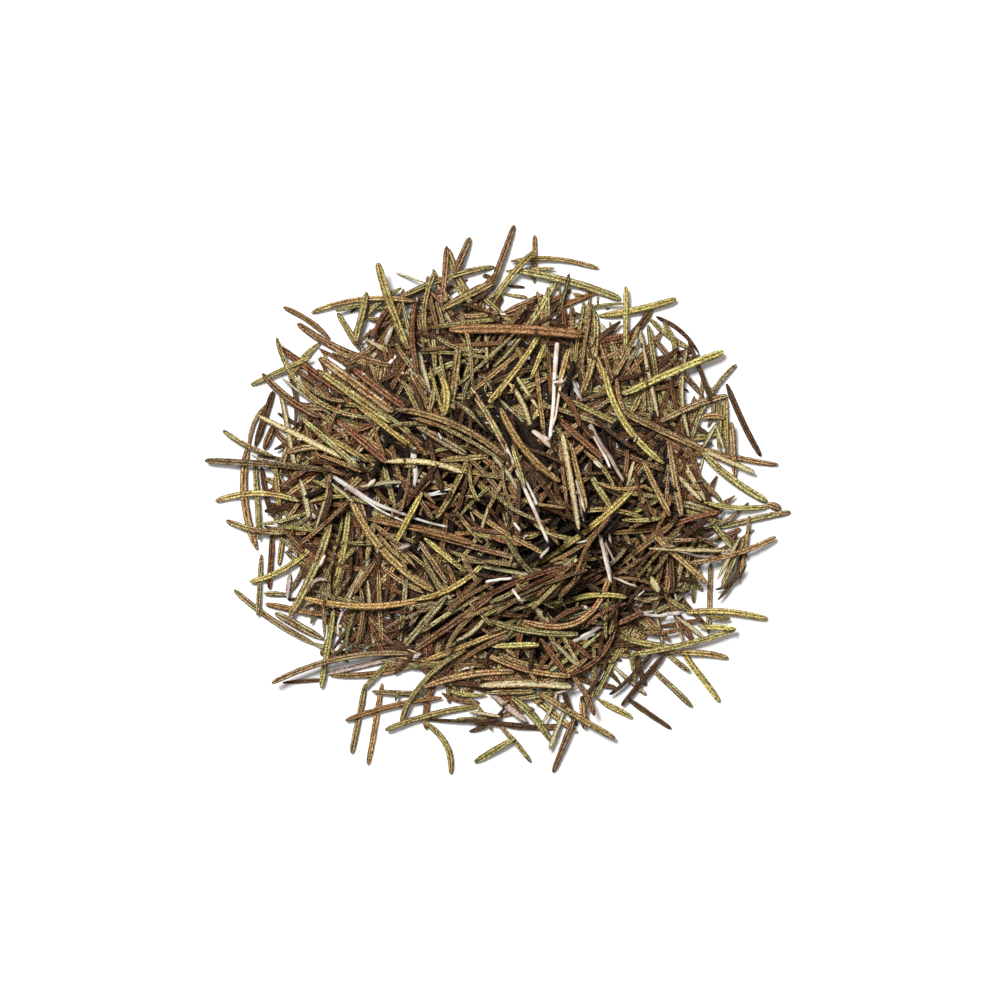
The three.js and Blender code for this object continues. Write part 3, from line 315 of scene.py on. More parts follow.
TOP_LEAVES = """
-17.1 21.5 -32.2 28.3 1 1.2 brown, -20.8 13.1 -35.4 25.9 3.5 0.9 lime, -14.4 24 -19.2 37.8 0.3 1.4 lime,
-21.2 25.6 -17.4 23.7 0 0.9 pale, -1 34.2 2.6 44.1 0 1 brown, 9.4 28 11.4 36.2 0 0.8 olive,
-0.8 21.2 9.2 35 -0.7 1.2 lime, -1.7 15.2 7 27 -0.4 1.1 lime, -7.8 27.1 13.4 26.3 0.5 1.7 orange,
-1.2 31 6 39.8 0.5 1.1 lime, 2.4 28.2 -2.5 32.5 0 1 lime, 13.3 16.8 15.5 30.3 -1 1.2 olive,
20.5 23.6 20.5 34.2 0 0.9 lime, 19.9 22.4 16.4 28.4 0 0.7 pale, 25.6 18 24.1 28 0 1 olive,
25.7 13.3 22.7 27.4 0 0.8 pale, 20.2 16.8 36.2 23.7 0.2 1.3 lime, -26.8 4.6 -47 6.2 -0.3 1.1 gold,
-37.8 20.2 -28.6 13.2 -0.6 1.2 brown, -31.8 13.2 -22.2 5 0 1.1 lime, -31.8 -0.3 -45.4 -0.3 -1.3 1 lime,
-28.6 22.8 -16.8 14 0 1.5 gold, -28.6 20.6 -16.9 12.4 0 1.5 lime, -23.2 21 -14.8 14.6 0 1.4 russet,
-16.3 14.4 1.6 6.4 1.6 1.2 gold, -13.1 11.7 -5 7.2 0 1.3 gold, -4.7 7 -9.8 -2.9 0.4 1 olive,
-26.8 4 -8.2 -4.3 -1.2 0.8 stem, -23.6 0.2 -10.2 -14.6 -1.8 1.4 gold, -26.6 2.6 -23 -0.4 0 0.7 pale,
-13.4 8 -13.3 2.3 0 0.9 stem, -17.8 6 -5.6 4.3 0.7 1 pale, -12 0.7 -7.4 1.7 0 0.5 stem,
-9.4 20.2 -8.7 13.3 0.9 1.3 lime, -10.8 17 -16.6 25.3 0 1 olive, -10.8 17.2 -12.8 24 0 0.8 pale,
-18 21.6 -16.2 24 -0.5 0.5 stem, -5.2 18.8 2 6.5 0.4 1.1 olive, 0.4 14.5 9.9 2.8 -1.2 1.2 gold,
8.3 9.9 9.5 25.3 0 0.8 stem, 1.6 18.7 5.2 11.2 0.7 0.9 pale, 5.2 11.2 9.4 7.8 0 0.8 stem,
9 13.5 17 6.3 0 1.2 russet, 11.4 15.9 20.6 11.6 0 1.1 lime, 14.2 12.9 19.9 3 0 0.7 stem,
26.6 5.8 17 21 1.9 1.2 lime, 10.2 10.8 12.8 -4.8 0 1 pale, 14.6 4.2 18.2 -1.6 0 1.1 lime,
1.4 8.2 7.8 -6.5 0 0.9 stem, 2.2 8.6 4.2 2 0 0.8 lime, 26 12.5 36.8 16.7 0.4 1.1 gold,
20.2 13.9 33 8 0 1.3 gold, 27.4 9.4 29.4 -2.6 0 1.2 gold, 23.2 6 27.4 -2.6 0 1.1 gold,
-34.1 -5.4 -43.7 -3.4 0.4 1.1 olive, -29 -6.6 -39.9 -13.2 1.2 1 lime, -34.2 -8.6 -23.6 0.2 -0.6 0.8 brown,
-26.8 -4 -33.4 -18.7 0.5 1.4 lime, -23.9 -1.6 -26.8 -15 0.5 1.1 lime, -30.5 -14.9 -27.8 -13.4 0.7 0.8 brown,
-12 -16 -30.9 -15.8 1.2 1.1 gold, -13.5 -16 -2 -9.8 -1.3 1 lime, -20.8 -3.1 -4 -7 0.3 1.2 brown,
-12 1.2 -16.3 -6.8 0 1 lime, -5.2 -0.8 7.4 -8.6 -0.4 0.9 gold, -8.2 -15.4 -15.6 -24.2 0 1.3 olive,
10.9 -10.6 -3.5 -16.6 -0.8 1 russet, -1 -15.4 -13.3 -24.1 0 1.2 brown, -26.3 -17.6 -28.4 -30.3 0 1 lime,
-14 -24.7 -36.2 -29.4 -1.6 1 gold, -5.2 -24.2 -15.6 -35.6 -1.6 1 olive, -11.8 -30.1 2.5 -27.6 0.8 1.1 gold,
5.4 -10.8 21.5 1.7 -0.8 1.1 lime, 4 -19.3 18.1 -11.4 -4.5 1.1 gold, 18 -12 16 -5.6 0 0.7 stem,
18.5 -9.8 17.2 -6.6 0 0.4 stem, 24 -6.2 35.5 -2 0.6 1 russet, 18.6 -11.2 28 -3.8 0 1.1 brown,
7.6 -18.1 20.5 -15.6 1.4 0.9 lime, 6.8 -22.2 10.6 -27.6 0 1 russet, 10.8 -28.2 18.8 -20.5 -1.6 0.9 russet,
-2.5 -24.4 11.6 -28.2 -0.9 1 gold, -3 -29.9 11.8 -29.9 0.4 1.3 pale, 21.8 -19.6 15.4 -31.8 0 0.9 olive,
21.2 -24.8 38.2 -20.7 -0.6 1 lime, 30 -18.1 43.3 -19.2 0.6 1.1 lime, 19.8 -18.6 29.2 -18.2 0 0.7 stem,
18.6 -20.2 23.2 -18 0 1 russet, 30.2 -10.2 44.6 -6 -0.7 0.9 gold, 24.6 -5.6 33.4 -13.4 0 1 gold
"""
RESTING_LEAF = [-6, 0.8, 6, -0.8, 0, 1.5, "olive"]

# Small bits that lie on top, in the same form: scraps, hooks and cut ends of stems.
TOP_BITS = """
-8 -2.5 -6.6 -2.3 0 0.8 dark, -15.9 -7.9 -14.1 -7.1 0 0.9 lilac, -13.6 -25.4 -12.4 -24.6 0 0.9 lilac,
24.4 -12.3 25.6 -14.7 0 1.3 pale, 13.5 -17.2 14.3 -17.4 0 0.8 stem, 4.1 -6.4 4.9 -5.7 0.3 0.4 stem,
-1.9 -13.1 2.2 -12.5 0 0.5 stem, 2.3 -14.3 3.8 -16.2 0 0.5 stem, 16.2 -5.8 17.8 -13 0 0.8 stem,
17 -7 18.6 -9.8 0 0.5 stem, 12.5 -6.9 14 -6.6 0 0.5 stem, 24 -7.8 37 -8.2 0 0.7 pale,
18.5 -12.5 22 -13.8 0 0.6 stem, -5 -33.9 0.4 -34.8 0 0.6 pale, -5.7 -27.2 -3.9 -26.8 0 0.6 stem,
33.5 -18.7 37.3 -19.2 0 0.8 olive, 32 -20.3 38 -20.7 0 0.9 lime, -29.9 -14 -27.2 -13 0.8 0.7 lilac
"""


class Leaf:
    """A leaf as it lies: its line in plan, size, kind, and the height of its underside at base and tip."""

    def __init__(self, row, narrowest=NARROWEST, thinnest=THINNEST):
        x0, y0, x1, y1, self.bow, width, self.kind = row
        self.base = np.array([x0, y0], dtype=float)
        self.tip = np.array([x1, y1], dtype=float)
        self.length = float(np.linalg.norm(self.tip - self.base))
        self.left = np.array([y0 - y1, x1 - x0]) / self.length
        self.width = max(width, narrowest)
        self.thickness = max(self.width * THICKNESS_SHARE, thinnest)
        self.true_width = max(width, LEAST_WIDTH)
        self.true_thickness = min(self.thickness, self.true_width * FINE_THICKNESS_SHARE)
        # How far its colour is darkened as painted shade; 1 except for the filling and covering leaves.
        self.tone = 1.0
        self.low = (0.0, 0.0)
        self.node = None

    def plan(self, t, aside=0.0):
        """Points in plan at the shares t of the length, set aside to the left."""
        t = np.asarray(t, dtype=float)
        bow = np.asarray(self.bow * 4 * t * (1 - t) + aside)
        return self.base + (self.tip - self.base) * t[..., None] + self.left * bow[..., None]

    def underside(self, t):
        return self.low[0] + (self.low[1] - self.low[0]) * t


class LowerDraws:
    """The draws of the unseen lower leaves, the same as for the solids."""

    def __init__(self, seed):
        self.state = seed

    def draw(self):
        self.state = (self.state * 1664525 + 1013904223) % 2**32
        return self.state / 2**32

    def between(self, low, high):
        return low + (high - low) * self.draw()

    def in_circle(self):
        while True:
            x = self.between(-1, 1)
            y = self.between(-1, 1)
            if x * x + y * y <= 1:
                return x, y

    def row(self):
        px, py = self.in_circle()
        spread = LOWER_REACH * (1 - LOWER_CROWDING * (1 - px * px - py * py))
        dx, dy = self.in_circle()
        half = 0.5 * self.between(*LOWER_LENGTHS) / math.sqrt(dx * dx + dy * dy)
        bow = self.between(-LOWER_BOW, LOWER_BOW)
        width = self.between(*LOWER_WIDTHS)
        kind = LOWER_KINDS[int(self.draw() * len(LOWER_KINDS))]
        x, y = px * spread, py * spread
        return [x - dx * half, y - dy * half, x + dx * half, y + dy * half, bow, width, kind]


def corners_of(leaf, section):
    """The corners of a leaf's solid: (share of the length, x, y, height over the underside)."""
    stretches = max(1, math.ceil(math.sqrt(abs(leaf.bow) / BOW_STEP)))
    first = TIP_LENGTH / leaf.length
    corners = [(0.0, *leaf.plan(0.0), 0.0), (1.0, *leaf.plan(1.0), 0.0)]
    for ring in range(stretches + 1):
        t = first + (1 - 2 * first) * ring / stretches
        for side, up in section:
            corners.append((t, *leaf.plan(t, side * 0.5 * leaf.width), up * leaf.thickness))
    return corners


def find_place(leaf, section, vertices, owners):
    """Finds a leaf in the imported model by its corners, and sets its heights and node if it is there."""
    hits = []
    for t, x, y, rise in corners_of(leaf, section):
        near = np.flatnonzero(np.abs(vertices[:, :2] - (x, y)).max(axis=1) < MATCH)
        hits += [(t, vertices[i, 2] - rise, owners[i]) for i in near]
    most = 1
    for t_a, low_a, owner in hits:
        for t_b, low_b, other in hits:
            slope = (low_b - low_a) / (t_b - t_a) if t_b > t_a else 0.0
            steep = abs(slope) > SLOPE_SLACK * MOST_SLOPE * leaf.length
            if t_b - t_a < LEAST_SPAN or other != owner or steep:
                continue
            own = [(t, low) for t, low, third in hits if third == owner]
            agreeing = sum(abs(low_a + slope * (t - t_a) - low) < LINE_MATCH for t, low in own)
            if agreeing > most:
                most = agreeing
                leaf.node = owner
                leaf.low = (low_a - slope * t_a, low_a + slope * (1 - t_a))


class Surface:
    """How high the heap stands, cell by cell."""

    def __init__(self):
        self.side = round(2 * MAP_HALF / CELL)
        self.heights = np.zeros(self.side * self.side)

    def stations(self, leaf):
        """The cells under a leaf, station by station along it, without its pointed ends."""
        left_out = min(TIP_LEFT_OUT, TIP_LEFT_OUT_SHARE * leaf.length)
        count = math.ceil((leaf.length - 2 * left_out) / SAMPLE_STEP)
        along = left_out + (leaf.length - 2 * left_out) * np.arange(count + 1) / count
        strips = math.ceil(leaf.width / SAMPLE_STEP)
        share = 2 * np.arange(strips + 1) / strips - 1
        t = along / leaf.length
        taper = np.minimum(1, np.minimum(along, leaf.length - along) / TIP_LENGTH)
        aside = taper[:, None] * share * 0.5 * leaf.width
        points = leaf.plan(np.repeat(t[:, None], strips + 1, axis=1), aside)
        cells = np.floor((points + MAP_HALF) / CELL).astype(int)
        return t, taper, share, cells[..., 0] + self.side * cells[..., 1]

    def ceiling(self):
        """The heap's height with each cell raised to the highest one near it."""
        high = self.heights.reshape(self.side, self.side)
        reach = round(CEILING_REACH / CELL)
        for axis in (0, 1):
            high = np.max([np.roll(high, shift, axis) for shift in range(-reach, reach + 1)], axis=0)
        return high.ravel()

    def add(self, leaf):
        t, taper, share, cells = self.stations(leaf)
        rounded = leaf.thickness * taper[:, None] * (1 - EDGE_DROP * share**2)
        np.maximum.at(self.heights, cells, leaf.underside(t)[:, None] + rounded)

    def settle(self, leaf):
        """Lays a leaf down on the heap, on one support on each side of its middle."""
        t, _, _, cells = self.stations(leaf)
        under = self.heights[cells].max(axis=1)
        under = np.where(under > 0, under + REST_GAP, 0.0)
        points = [(0.0, 0.0), *zip(t, under), (1.0, 0.0)]
        hull = []
        for point in points:
            while len(hull) > 1:
                (t_a, low_a), (t_b, low_b) = hull[-2:]
                if (low_b - low_a) * (point[0] - t_a) > (point[1] - low_a) * (t_b - t_a):
                    break
                hull.pop()
            hull.append(point)
        after = next(i for i, point in enumerate(hull) if point[0] > 0.5)
        (t_a, low_a), (t_b, low_b) = hull[after - 1], hull[after]
        steepest = MOST_SLOPE * leaf.length
        slope = max(-steepest, min(steepest, (low_b - low_a) / (t_b - t_a)))
        base = max(low - slope * at for at, low in points)
        leaf.low = (base, base + slope)


class Space:
    """Which small boxes of the space over the surface are taken by leaves."""

    def __init__(self):
        self.side = round(2 * MAP_HALF / BOX_SIDE)
        self.levels = round(SPACE_HEIGHT / BOX_HEIGHT)
        self.taken = np.zeros(self.side * self.side * self.levels, dtype=bool)

    def boxes(self, leaf):
        """The boxes that a leaf fills, and the level of the highest."""
        count = math.ceil(leaf.length / BOX_SIDE) + 1
        strips = math.ceil(leaf.width / BOX_SIDE) + 1
        layers = math.ceil(leaf.thickness / BOX_HEIGHT) + 1
        t = np.linspace(0, 1, count)
        share = np.linspace(-1, 1, strips)
        points = leaf.plan(np.repeat(t[:, None], strips, axis=1), share * 0.5 * leaf.width)
        cells = np.floor((points + MAP_HALF) / BOX_SIDE).astype(int)
        height = leaf.thickness * (1 - BOX_EDGE_DROP * share**2)
        z = leaf.underside(t)[:, None, None] + height[None, :, None] * np.linspace(0, 1, layers)
        levels = np.clip(np.floor(z / BOX_HEIGHT).astype(int), 0, self.levels - 1)
        columns = (cells[..., 0] * self.side + cells[..., 1])[..., None] * self.levels
        return np.unique(columns + levels), levels.max()

    def add(self, leaf):
        self.taken[self.boxes(leaf)[0]] = True

    def drop_in(self, leaf, ceiling):
        """Puts a leaf into the lowest free place over its spot that is under the ceiling."""
        boxes, top = self.boxes(leaf)
        highest = max(top, min(int(ceiling / BOX_HEIGHT), self.levels - 1))
        for up in range(highest - top + 1):
            if self.taken[boxes + up].mean() <= FILL_SQUEEZE:
                leaf.low = (leaf.low[0] + up * BOX_HEIGHT, leaf.low[1] + up * BOX_HEIGHT)
                return True
        return False


def stays_separate(row, group):
    """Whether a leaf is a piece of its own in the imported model, with a rounder solid."""
    length = math.dist(row[:2], row[2:4])
    if row[6] == "stem":
        return group != "rim" and length >= LONG_STEM
    return group == "top" and length >= LONG_LEAF


def packed_corners():
    """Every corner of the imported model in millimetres, and the node that it belongs to."""
    corners = []
    owners = []
    for name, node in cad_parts.items():
        own = np.unique([np.round(np.array(vertex.co) / MM, 4) for vertex in node.data.vertices], axis=0)
        corners.append(own)
        owners += [name] * len(own)
    return np.concatenate(corners), owners


def rows_of(text):
    """The rows of leaves in a text: six numbers and the kind each."""
    words = [row.split() for row in text.split(",")]
    return [[*map(float, row[:6]), row[6]] for row in words]


def read_leaves():
    """Every leaf that has a row, in order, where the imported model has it."""
    draws = LowerDraws(LOWER_SEED)
    rows = [(RESTING_LEAF, "lower")] + [(draws.row(), "lower") for _ in range(LOWER_LEAF_COUNT)]
    for group, text in (("rim", RIM_LEAVES), ("middle", MIDDLE_LEAVES), ("top", TOP_LEAVES)):
        rows += [(row, group) for row in rows_of(text)]
    vertices, owners = packed_corners()
    surface = Surface()
    seen = Surface()
    leaves = []
    for row, group in rows:
        leaf = Leaf(row)
        find_place(leaf, ROUND_SECTION if stays_separate(row, group) else PLAIN_SECTION, vertices, owners)
        if leaf.node is None:
            surface.settle(leaf)
        surface.add(leaf)
        if group != "lower":
            seen.add(leaf)
        leaves.append(leaf)
    return leaves, surface, seen


def slim_leaf(row, least):
    """A leaf without a solid, at least so wide and so thick."""
    return Leaf(row, narrowest=least, thinnest=least)


def one_of(kinds, random):
    return kinds[random.integers(len(kinds))]


def place_within(reach, random):
    """A drawn place within a reach along X and Y, and a drawn direction."""
    radius = math.sqrt(random.uniform())
    angle, direction = random.uniform(0, 2 * math.pi, 2)
    return radius * np.array([reach[0] * math.cos(angle), reach[1] * math.sin(angle)]), direction


def drawn_row(middle, direction, lengths, kinds, widths, random, most_bow=0.0):
    """The row of a leaf about its middle, with the rest drawn."""
    half = 0.5 * random.uniform(*lengths) * np.array([math.cos(direction), math.sin(direction)])
    kind = one_of(kinds, random)
    bow = random.uniform(-most_bow, most_bow) if most_bow else 0.0
    return [*(middle - half), *(middle + half), bow, random.uniform(*widths), kind]


def filling_leaf(random):
    """One more leaf somewhere in the heap, at a drawn slope."""
    place = place_within(FILL_REACH, random)
    leaf = slim_leaf(drawn_row(*place, FILL_LENGTHS, FILL_KINDS, FILL_WIDTHS, random, FILL_BOW), LEAST_WIDTH)
    rise = random.uniform(-FILL_SLOPE, FILL_SLOPE) * leaf.length
    leaf.low = (max(0.0, -rise), max(0.0, rise))
    # Darkened as painted shade for lying inside the heap.
    leaf.tone = FILL_SHADE_DIMMING
    return leaf


def in_heap(leaf, line):
    """Whether a leaf keeps inside the rim and off the bare patches of paper."""
    if max(math.hypot(*(end / FILL_REACH)) for end in (leaf.base, leaf.tip)) > 1:
        return False
    return all(np.abs(line - gap).max(axis=1).min() >= GAP_RADIUS for gap in GAPS)


def on_lit_rim(place):
    """Whether light from the side reaches the paper at a place."""
    return math.hypot(*(place / COVER_REACH)) > LIT_RIM


def cover_paper(surface, random):
    """Lays leaves at drawn places where the paper still shows through the heap, dimmed and mostly dark as
    painted shade there.
    """
    centres = (np.arange(surface.side) + 0.5) * CELL - MAP_HALF
    y, x = np.meshgrid(centres, centres, indexing="ij")
    inside = np.hypot(x / COVER_REACH[0], y / COVER_REACH[1]) < 1
    for gap in GAPS:
        inside &= np.hypot(x - gap[0], y - gap[1]) > 2 * GAP_RADIUS
    cover = []
    for _ in range(COVER_TRIES):
        bare = np.flatnonzero(inside.ravel() & (surface.heights == 0))
        if not len(bare):
            break
        cell = bare[random.integers(len(bare))]
        middle = np.array([centres[cell % surface.side], centres[cell // surface.side]])
        direction = random.uniform(0, 2 * math.pi)
        row = drawn_row(middle, direction, COVER_LENGTHS, COVER_KINDS, COVER_WIDTHS, random)
        leaf = slim_leaf(row, LEAST_WIDTH)
        # Where light reaches the paper, the painted shade gives way to a dark leaf.
        if leaf.kind == "deep" and on_lit_rim(middle):
            leaf.kind = "dark"
        leaf.low = tuple(random.uniform(0, COVER_RISE, 2))
        # Darkened as painted shade, like the filling.
        leaf.tone = FILL_SHADE_DIMMING
        if in_heap(leaf, leaf.plan(surface.stations(leaf)[0])):
            surface.add(leaf)
            cover.append(leaf)
    return cover


def fill_heap(leaves, surface, seen, random):
    """Drops leaves into the free space in the heap, mostly under those that the photograph shows."""
    space = Space()
    for leaf in leaves:
        space.add(leaf)
    ceiling = seen.ceiling()
    filling = []
    for _ in range(FILL_TRIES):
        if len(filling) == FILL_COUNT:
            break
        leaf = filling_leaf(random)
        t, _, _, cells = surface.stations(leaf)
        if not in_heap(leaf, leaf.plan(t)):
            continue
        top = np.median(ceiling[cells])
        if not space.drop_in(leaf, top):
            continue
        shown = seen.heights[cells]
        ridge = leaf.underside(t)[:, None] + leaf.thickness
        if np.mean((shown > 0) & (shown < ridge)) > FILL_SEEN_SHARE:
            continue
        # Leaves far under the top of the heap take the darkest kinds, as painted shade.
        if top - np.mean(ridge) > SHADE_DEPTH and not on_lit_rim((leaf.base + leaf.tip) / 2):
            leaf.kind = one_of(SHADE_KINDS, random)
        space.add(leaf)
        filling.append(leaf)
    for leaf in filling:
        surface.add(leaf)
    return filling


def drop_on_top(rows, surface):
    """Lays small bits on the heap, or on the surface beside it."""
    bits = []
    for row in rows:
        bit = slim_leaf(row, LEAST_BIT_WIDTH)
        surface.settle(bit)
        surface.add(bit)
        bits.append(bit)
    return bits


def crumb_rows(random):
    """Short broken bits, drawn all over the heap."""
    rows = []
    for _ in range(CRUMB_COUNT):
        place = place_within(CRUMB_REACH, random)
        rows.append(drawn_row(*place, CRUMB_LENGTHS, CRUMB_KINDS, CRUMB_WIDTHS, random))
    return rows


def linear(colour):
    """A hex colour as linear red, green and blue."""
    parts = np.array([colour >> 16 & 255, colour >> 8 & 255, colour & 255]) / 255
    return np.where(parts <= 0.04045, parts / 12.92, ((parts + 0.055) / 1.055) ** 2.4)


def ring_places(length, step, base_profile, tip_profile):
    """Shares of the length at which a leaf has rings, and the part of its width at each."""
    reach = base_profile[-1][0] + tip_profile[-1][0]
    fit = min(1.0, 0.8 * length / reach)
    start = base_profile[-1][0] * fit
    end = length - tip_profile[-1][0] * fit
    count = max(1, round((end - start) / step))
    along = [place * fit for place, _ in base_profile]
    along += list(start + (end - start) * np.arange(1, count) / count)
    along += [length - place * fit for place, _ in reversed(tip_profile)]
    width = [part for _, part in base_profile] + [1.0] * (count - 1)
    width += [part for _, part in reversed(tip_profile)]
    return np.array(along) / length, np.array(width)


def smooth_wander(t, random, waves):
    """A gentle random wave along a leaf, from about -1 to 1."""
    total = np.zeros_like(t)
    for wave in range(1, waves + 1):
        total += random.normal() / wave * np.sin(math.pi * wave * t + random.uniform(0, 2 * math.pi))
    return 0.6 * total


def tube_faces(rings, sides):
    """The quads between the rings of points along a leaf, and the triangles from its two last points."""
    ring, side = np.meshgrid(np.arange(rings - 1), np.arange(sides), indexing="ij")
    here = ring * sides + side
    beside = ring * sides + (side + 1) % sides
    quads = np.stack([here, here + sides, beside + sides, beside], axis=-1).reshape(-1, 4)
    around = np.arange(sides)
    after = (around + 1) % sides
    last = (rings - 1) * sides
    base_fan = np.stack([around, after, np.full(sides, rings * sides)], axis=-1)
    tip_fan = np.stack([last + after, last + around, np.full(sides, rings * sides + 1)], axis=-1)
    return quads, np.concatenate([base_fan, tip_fan])


def leaf_mesh(leaf, random, step):
    """The fine surface of one leaf, with what its material needs at each point."""
    stem = leaf.kind == "stem"
    colour, wool, _ = KINDS[leaf.kind]
    section = np.array(STEM_SECTION if stem else LEAF_SECTION)
    if step > RING_STEP and not stem:
        section = section[::2]
    profiles = (STEM_PROFILE, STEM_PROFILE) if stem else (BASE_PROFILE, TIP_PROFILE)
    t, width = ring_places(leaf.length, step, *profiles)
    rings, sides = len(t), len(section)
    calm = min(1.0, leaf.length / CALM_LENGTH)
    wobble = STEM_WOBBLE if stem else WOBBLE
    aside = wobble * calm * smooth_wander(t, random, 4 if stem else 2) * np.sin(math.pi * t)
    arch = ARCH * calm * random.uniform(*ARCHES) * np.sin(math.pi * t)
    middle = np.zeros((rings, 3))
    middle[:, :2] = leaf.plan(t, aside)
    middle[:, 2] = leaf.underside(t) + 0.5 * leaf.true_thickness + arch
    tangent = np.gradient(middle, axis=0)
    tangent /= np.linalg.norm(tangent, axis=1)[:, None]
    across = np.cross([0.0, 0.0, 1.0], tangent)
    across /= np.linalg.norm(across, axis=1)[:, None]
    up = np.cross(tangent, across)
    if not stem:
        width = width * (1 - BELLY + BELLY * np.sin(math.pi * (0.06 + 0.88 * t)) ** 0.6)
    width = width * (1 + (STEM_UNEVEN if stem else LEAF_UNEVEN) * smooth_wander(t, random, 4))
    roll = (math.pi if leaf.kind in UNDERSIDE_UP else 0.0) + ROLL * random.normal()
    roll = roll + TWIST * random.normal() * (t - 0.5)
    width = width * (random.uniform(*STEM_SLIMNESS) if stem else 1)
    reach = 0.5 * leaf.true_width * width[:, None] * section[:, 0]
    rise = leaf.true_thickness * np.minimum(1, 0.2 + 0.8 * width)[:, None] * (section[:, 1] - 0.5)
    lumps = 1 + LUMPS * random.normal(size=(rings, sides)) / leaf.true_width
    reach, rise = reach * lumps, rise * lumps
    turn, tilt = np.cos(roll)[:, None], np.sin(roll)[:, None]
    points = middle[:, None] + across[:, None] * (reach * turn - rise * tilt)[..., None]
    points += up[:, None] * (reach * tilt + rise * turn)[..., None]
    if stem:
        ragged = random.uniform(-STEM_RAGGED, STEM_RAGGED, (2, sides, 1)) * leaf.true_width
        points[0] += tangent[0] * ragged[0]
        points[-1] += tangent[-1] * ragged[1]
    ends = [points[0].mean(axis=0), points[-1].mean(axis=0)]
    points = np.concatenate([points.reshape(-1, 3), ends])
    points[:, 2] = np.maximum(points[:, 2], LOWEST)

    brightness = np.clip(1 + BRIGHTNESS_SPREAD * random.normal(), *BRIGHTNESS_LIMITS)
    warmth = 1 + WARMTH_SPREAD * random.normal()
    # The painted shade of the inner leaves darkens the colour here, along with a tone that differs at random.
    tint = leaf.tone * brightness * np.array([warmth, 1.0, 1 / warmth])
    if stem:
        tint = tint * (1 - random.uniform() ** 2 * np.array(STEM_BROWNING))
    along = np.concatenate([np.repeat(t, sides), [0.0, 1.0]])
    shift = random.uniform(0, PATTERN_SHIFT)
    aside, height, woolly = np.concatenate([np.tile(section.T, rings), np.zeros((3, 2))], axis=1)
    quads, fans = tube_faces(rings, sides)
    return {
        "points": points,
        "quads": quads,
        "fans": fans,
        "along": along,
        "sides": sides,
        "stem": stem,
        "leaf_colour": np.tile([*linear(colour) * tint, 1.0], (len(points), 1)),
        "wool_colour": np.tile([*linear(wool) * (0.5 + 0.5 * tint), 1.0], (len(points), 1)),
        "leaf_place": np.stack([aside, shift + along * leaf.length, woolly], axis=-1),
        "upper": (height > UPPER_SIDE).astype(float),
        "from_end": np.minimum(along, 1 - along) * leaf.length,
        "leaf_draw": np.full(len(points), random.uniform()),
    }


def bake_corners(mesh, strip, strips):
    """Where each corner of a leaf's faces lies on its own strip of the bake."""
    along, sides = mesh["along"], mesh["sides"]
    first = mesh["quads"][:, 0] % sides
    aside = np.stack([first, first, first + 1, first + 1], axis=1)
    quads = np.stack([along[mesh["quads"]], aside], axis=-1)
    fans = np.stack([along[mesh["fans"]], np.minimum(mesh["fans"] % sides, sides)], axis=-1)
    corners = np.concatenate([quads.reshape(-1, 2), fans.reshape(-1, 2)])
    corners[:, 1] = (strip + 0.1 + 0.8 * corners[:, 1] / sides) / strips
    return corners


def build_piece(name, leaves, random, step=RING_STEP, node=None):
    """One object made of the fine meshes of several leaves, riding on the heap."""
    meshes = [leaf_mesh(leaf, random, step) for leaf in leaves]
    points = np.concatenate([mesh["points"] for mesh in meshes])
    faces, materials, bake = [], [], []
    count = 0
    for strip, mesh in enumerate(meshes):
        own = (mesh["quads"] + count).tolist() + (mesh["fans"] + count).tolist()
        faces += own
        materials += [int(mesh["stem"])] * len(own)
        bake.append(bake_corners(mesh, strip, len(meshes)))
        count += len(mesh["points"])
    data = bpy.data.meshes.new(name)
    data.from_pydata((points * MM).tolist(), [], faces)
    for material in (leaf_material, stem_material):
        data.materials.append(material)
    data.polygons.foreach_set("material_index", materials)
    data.polygons.foreach_set("use_smooth", [True] * len(faces))
    layer = data.uv_layers.new(name="OFBake")
    layer.data.foreach_set("uv", np.concatenate(bake).ravel())
    for key, (kind, value) in ATTRIBUTES.items():
        attribute = data.attributes.new(key, kind, "POINT")
        attribute.data.foreach_set(value, np.concatenate([mesh[key] for mesh in meshes]).ravel())
    data.update()
    piece = bpy.data.objects.new(name, data)
    bpy.context.collection.objects.link(piece)
    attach(piece, "root")
    if node:
        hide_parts(node)
    return piece


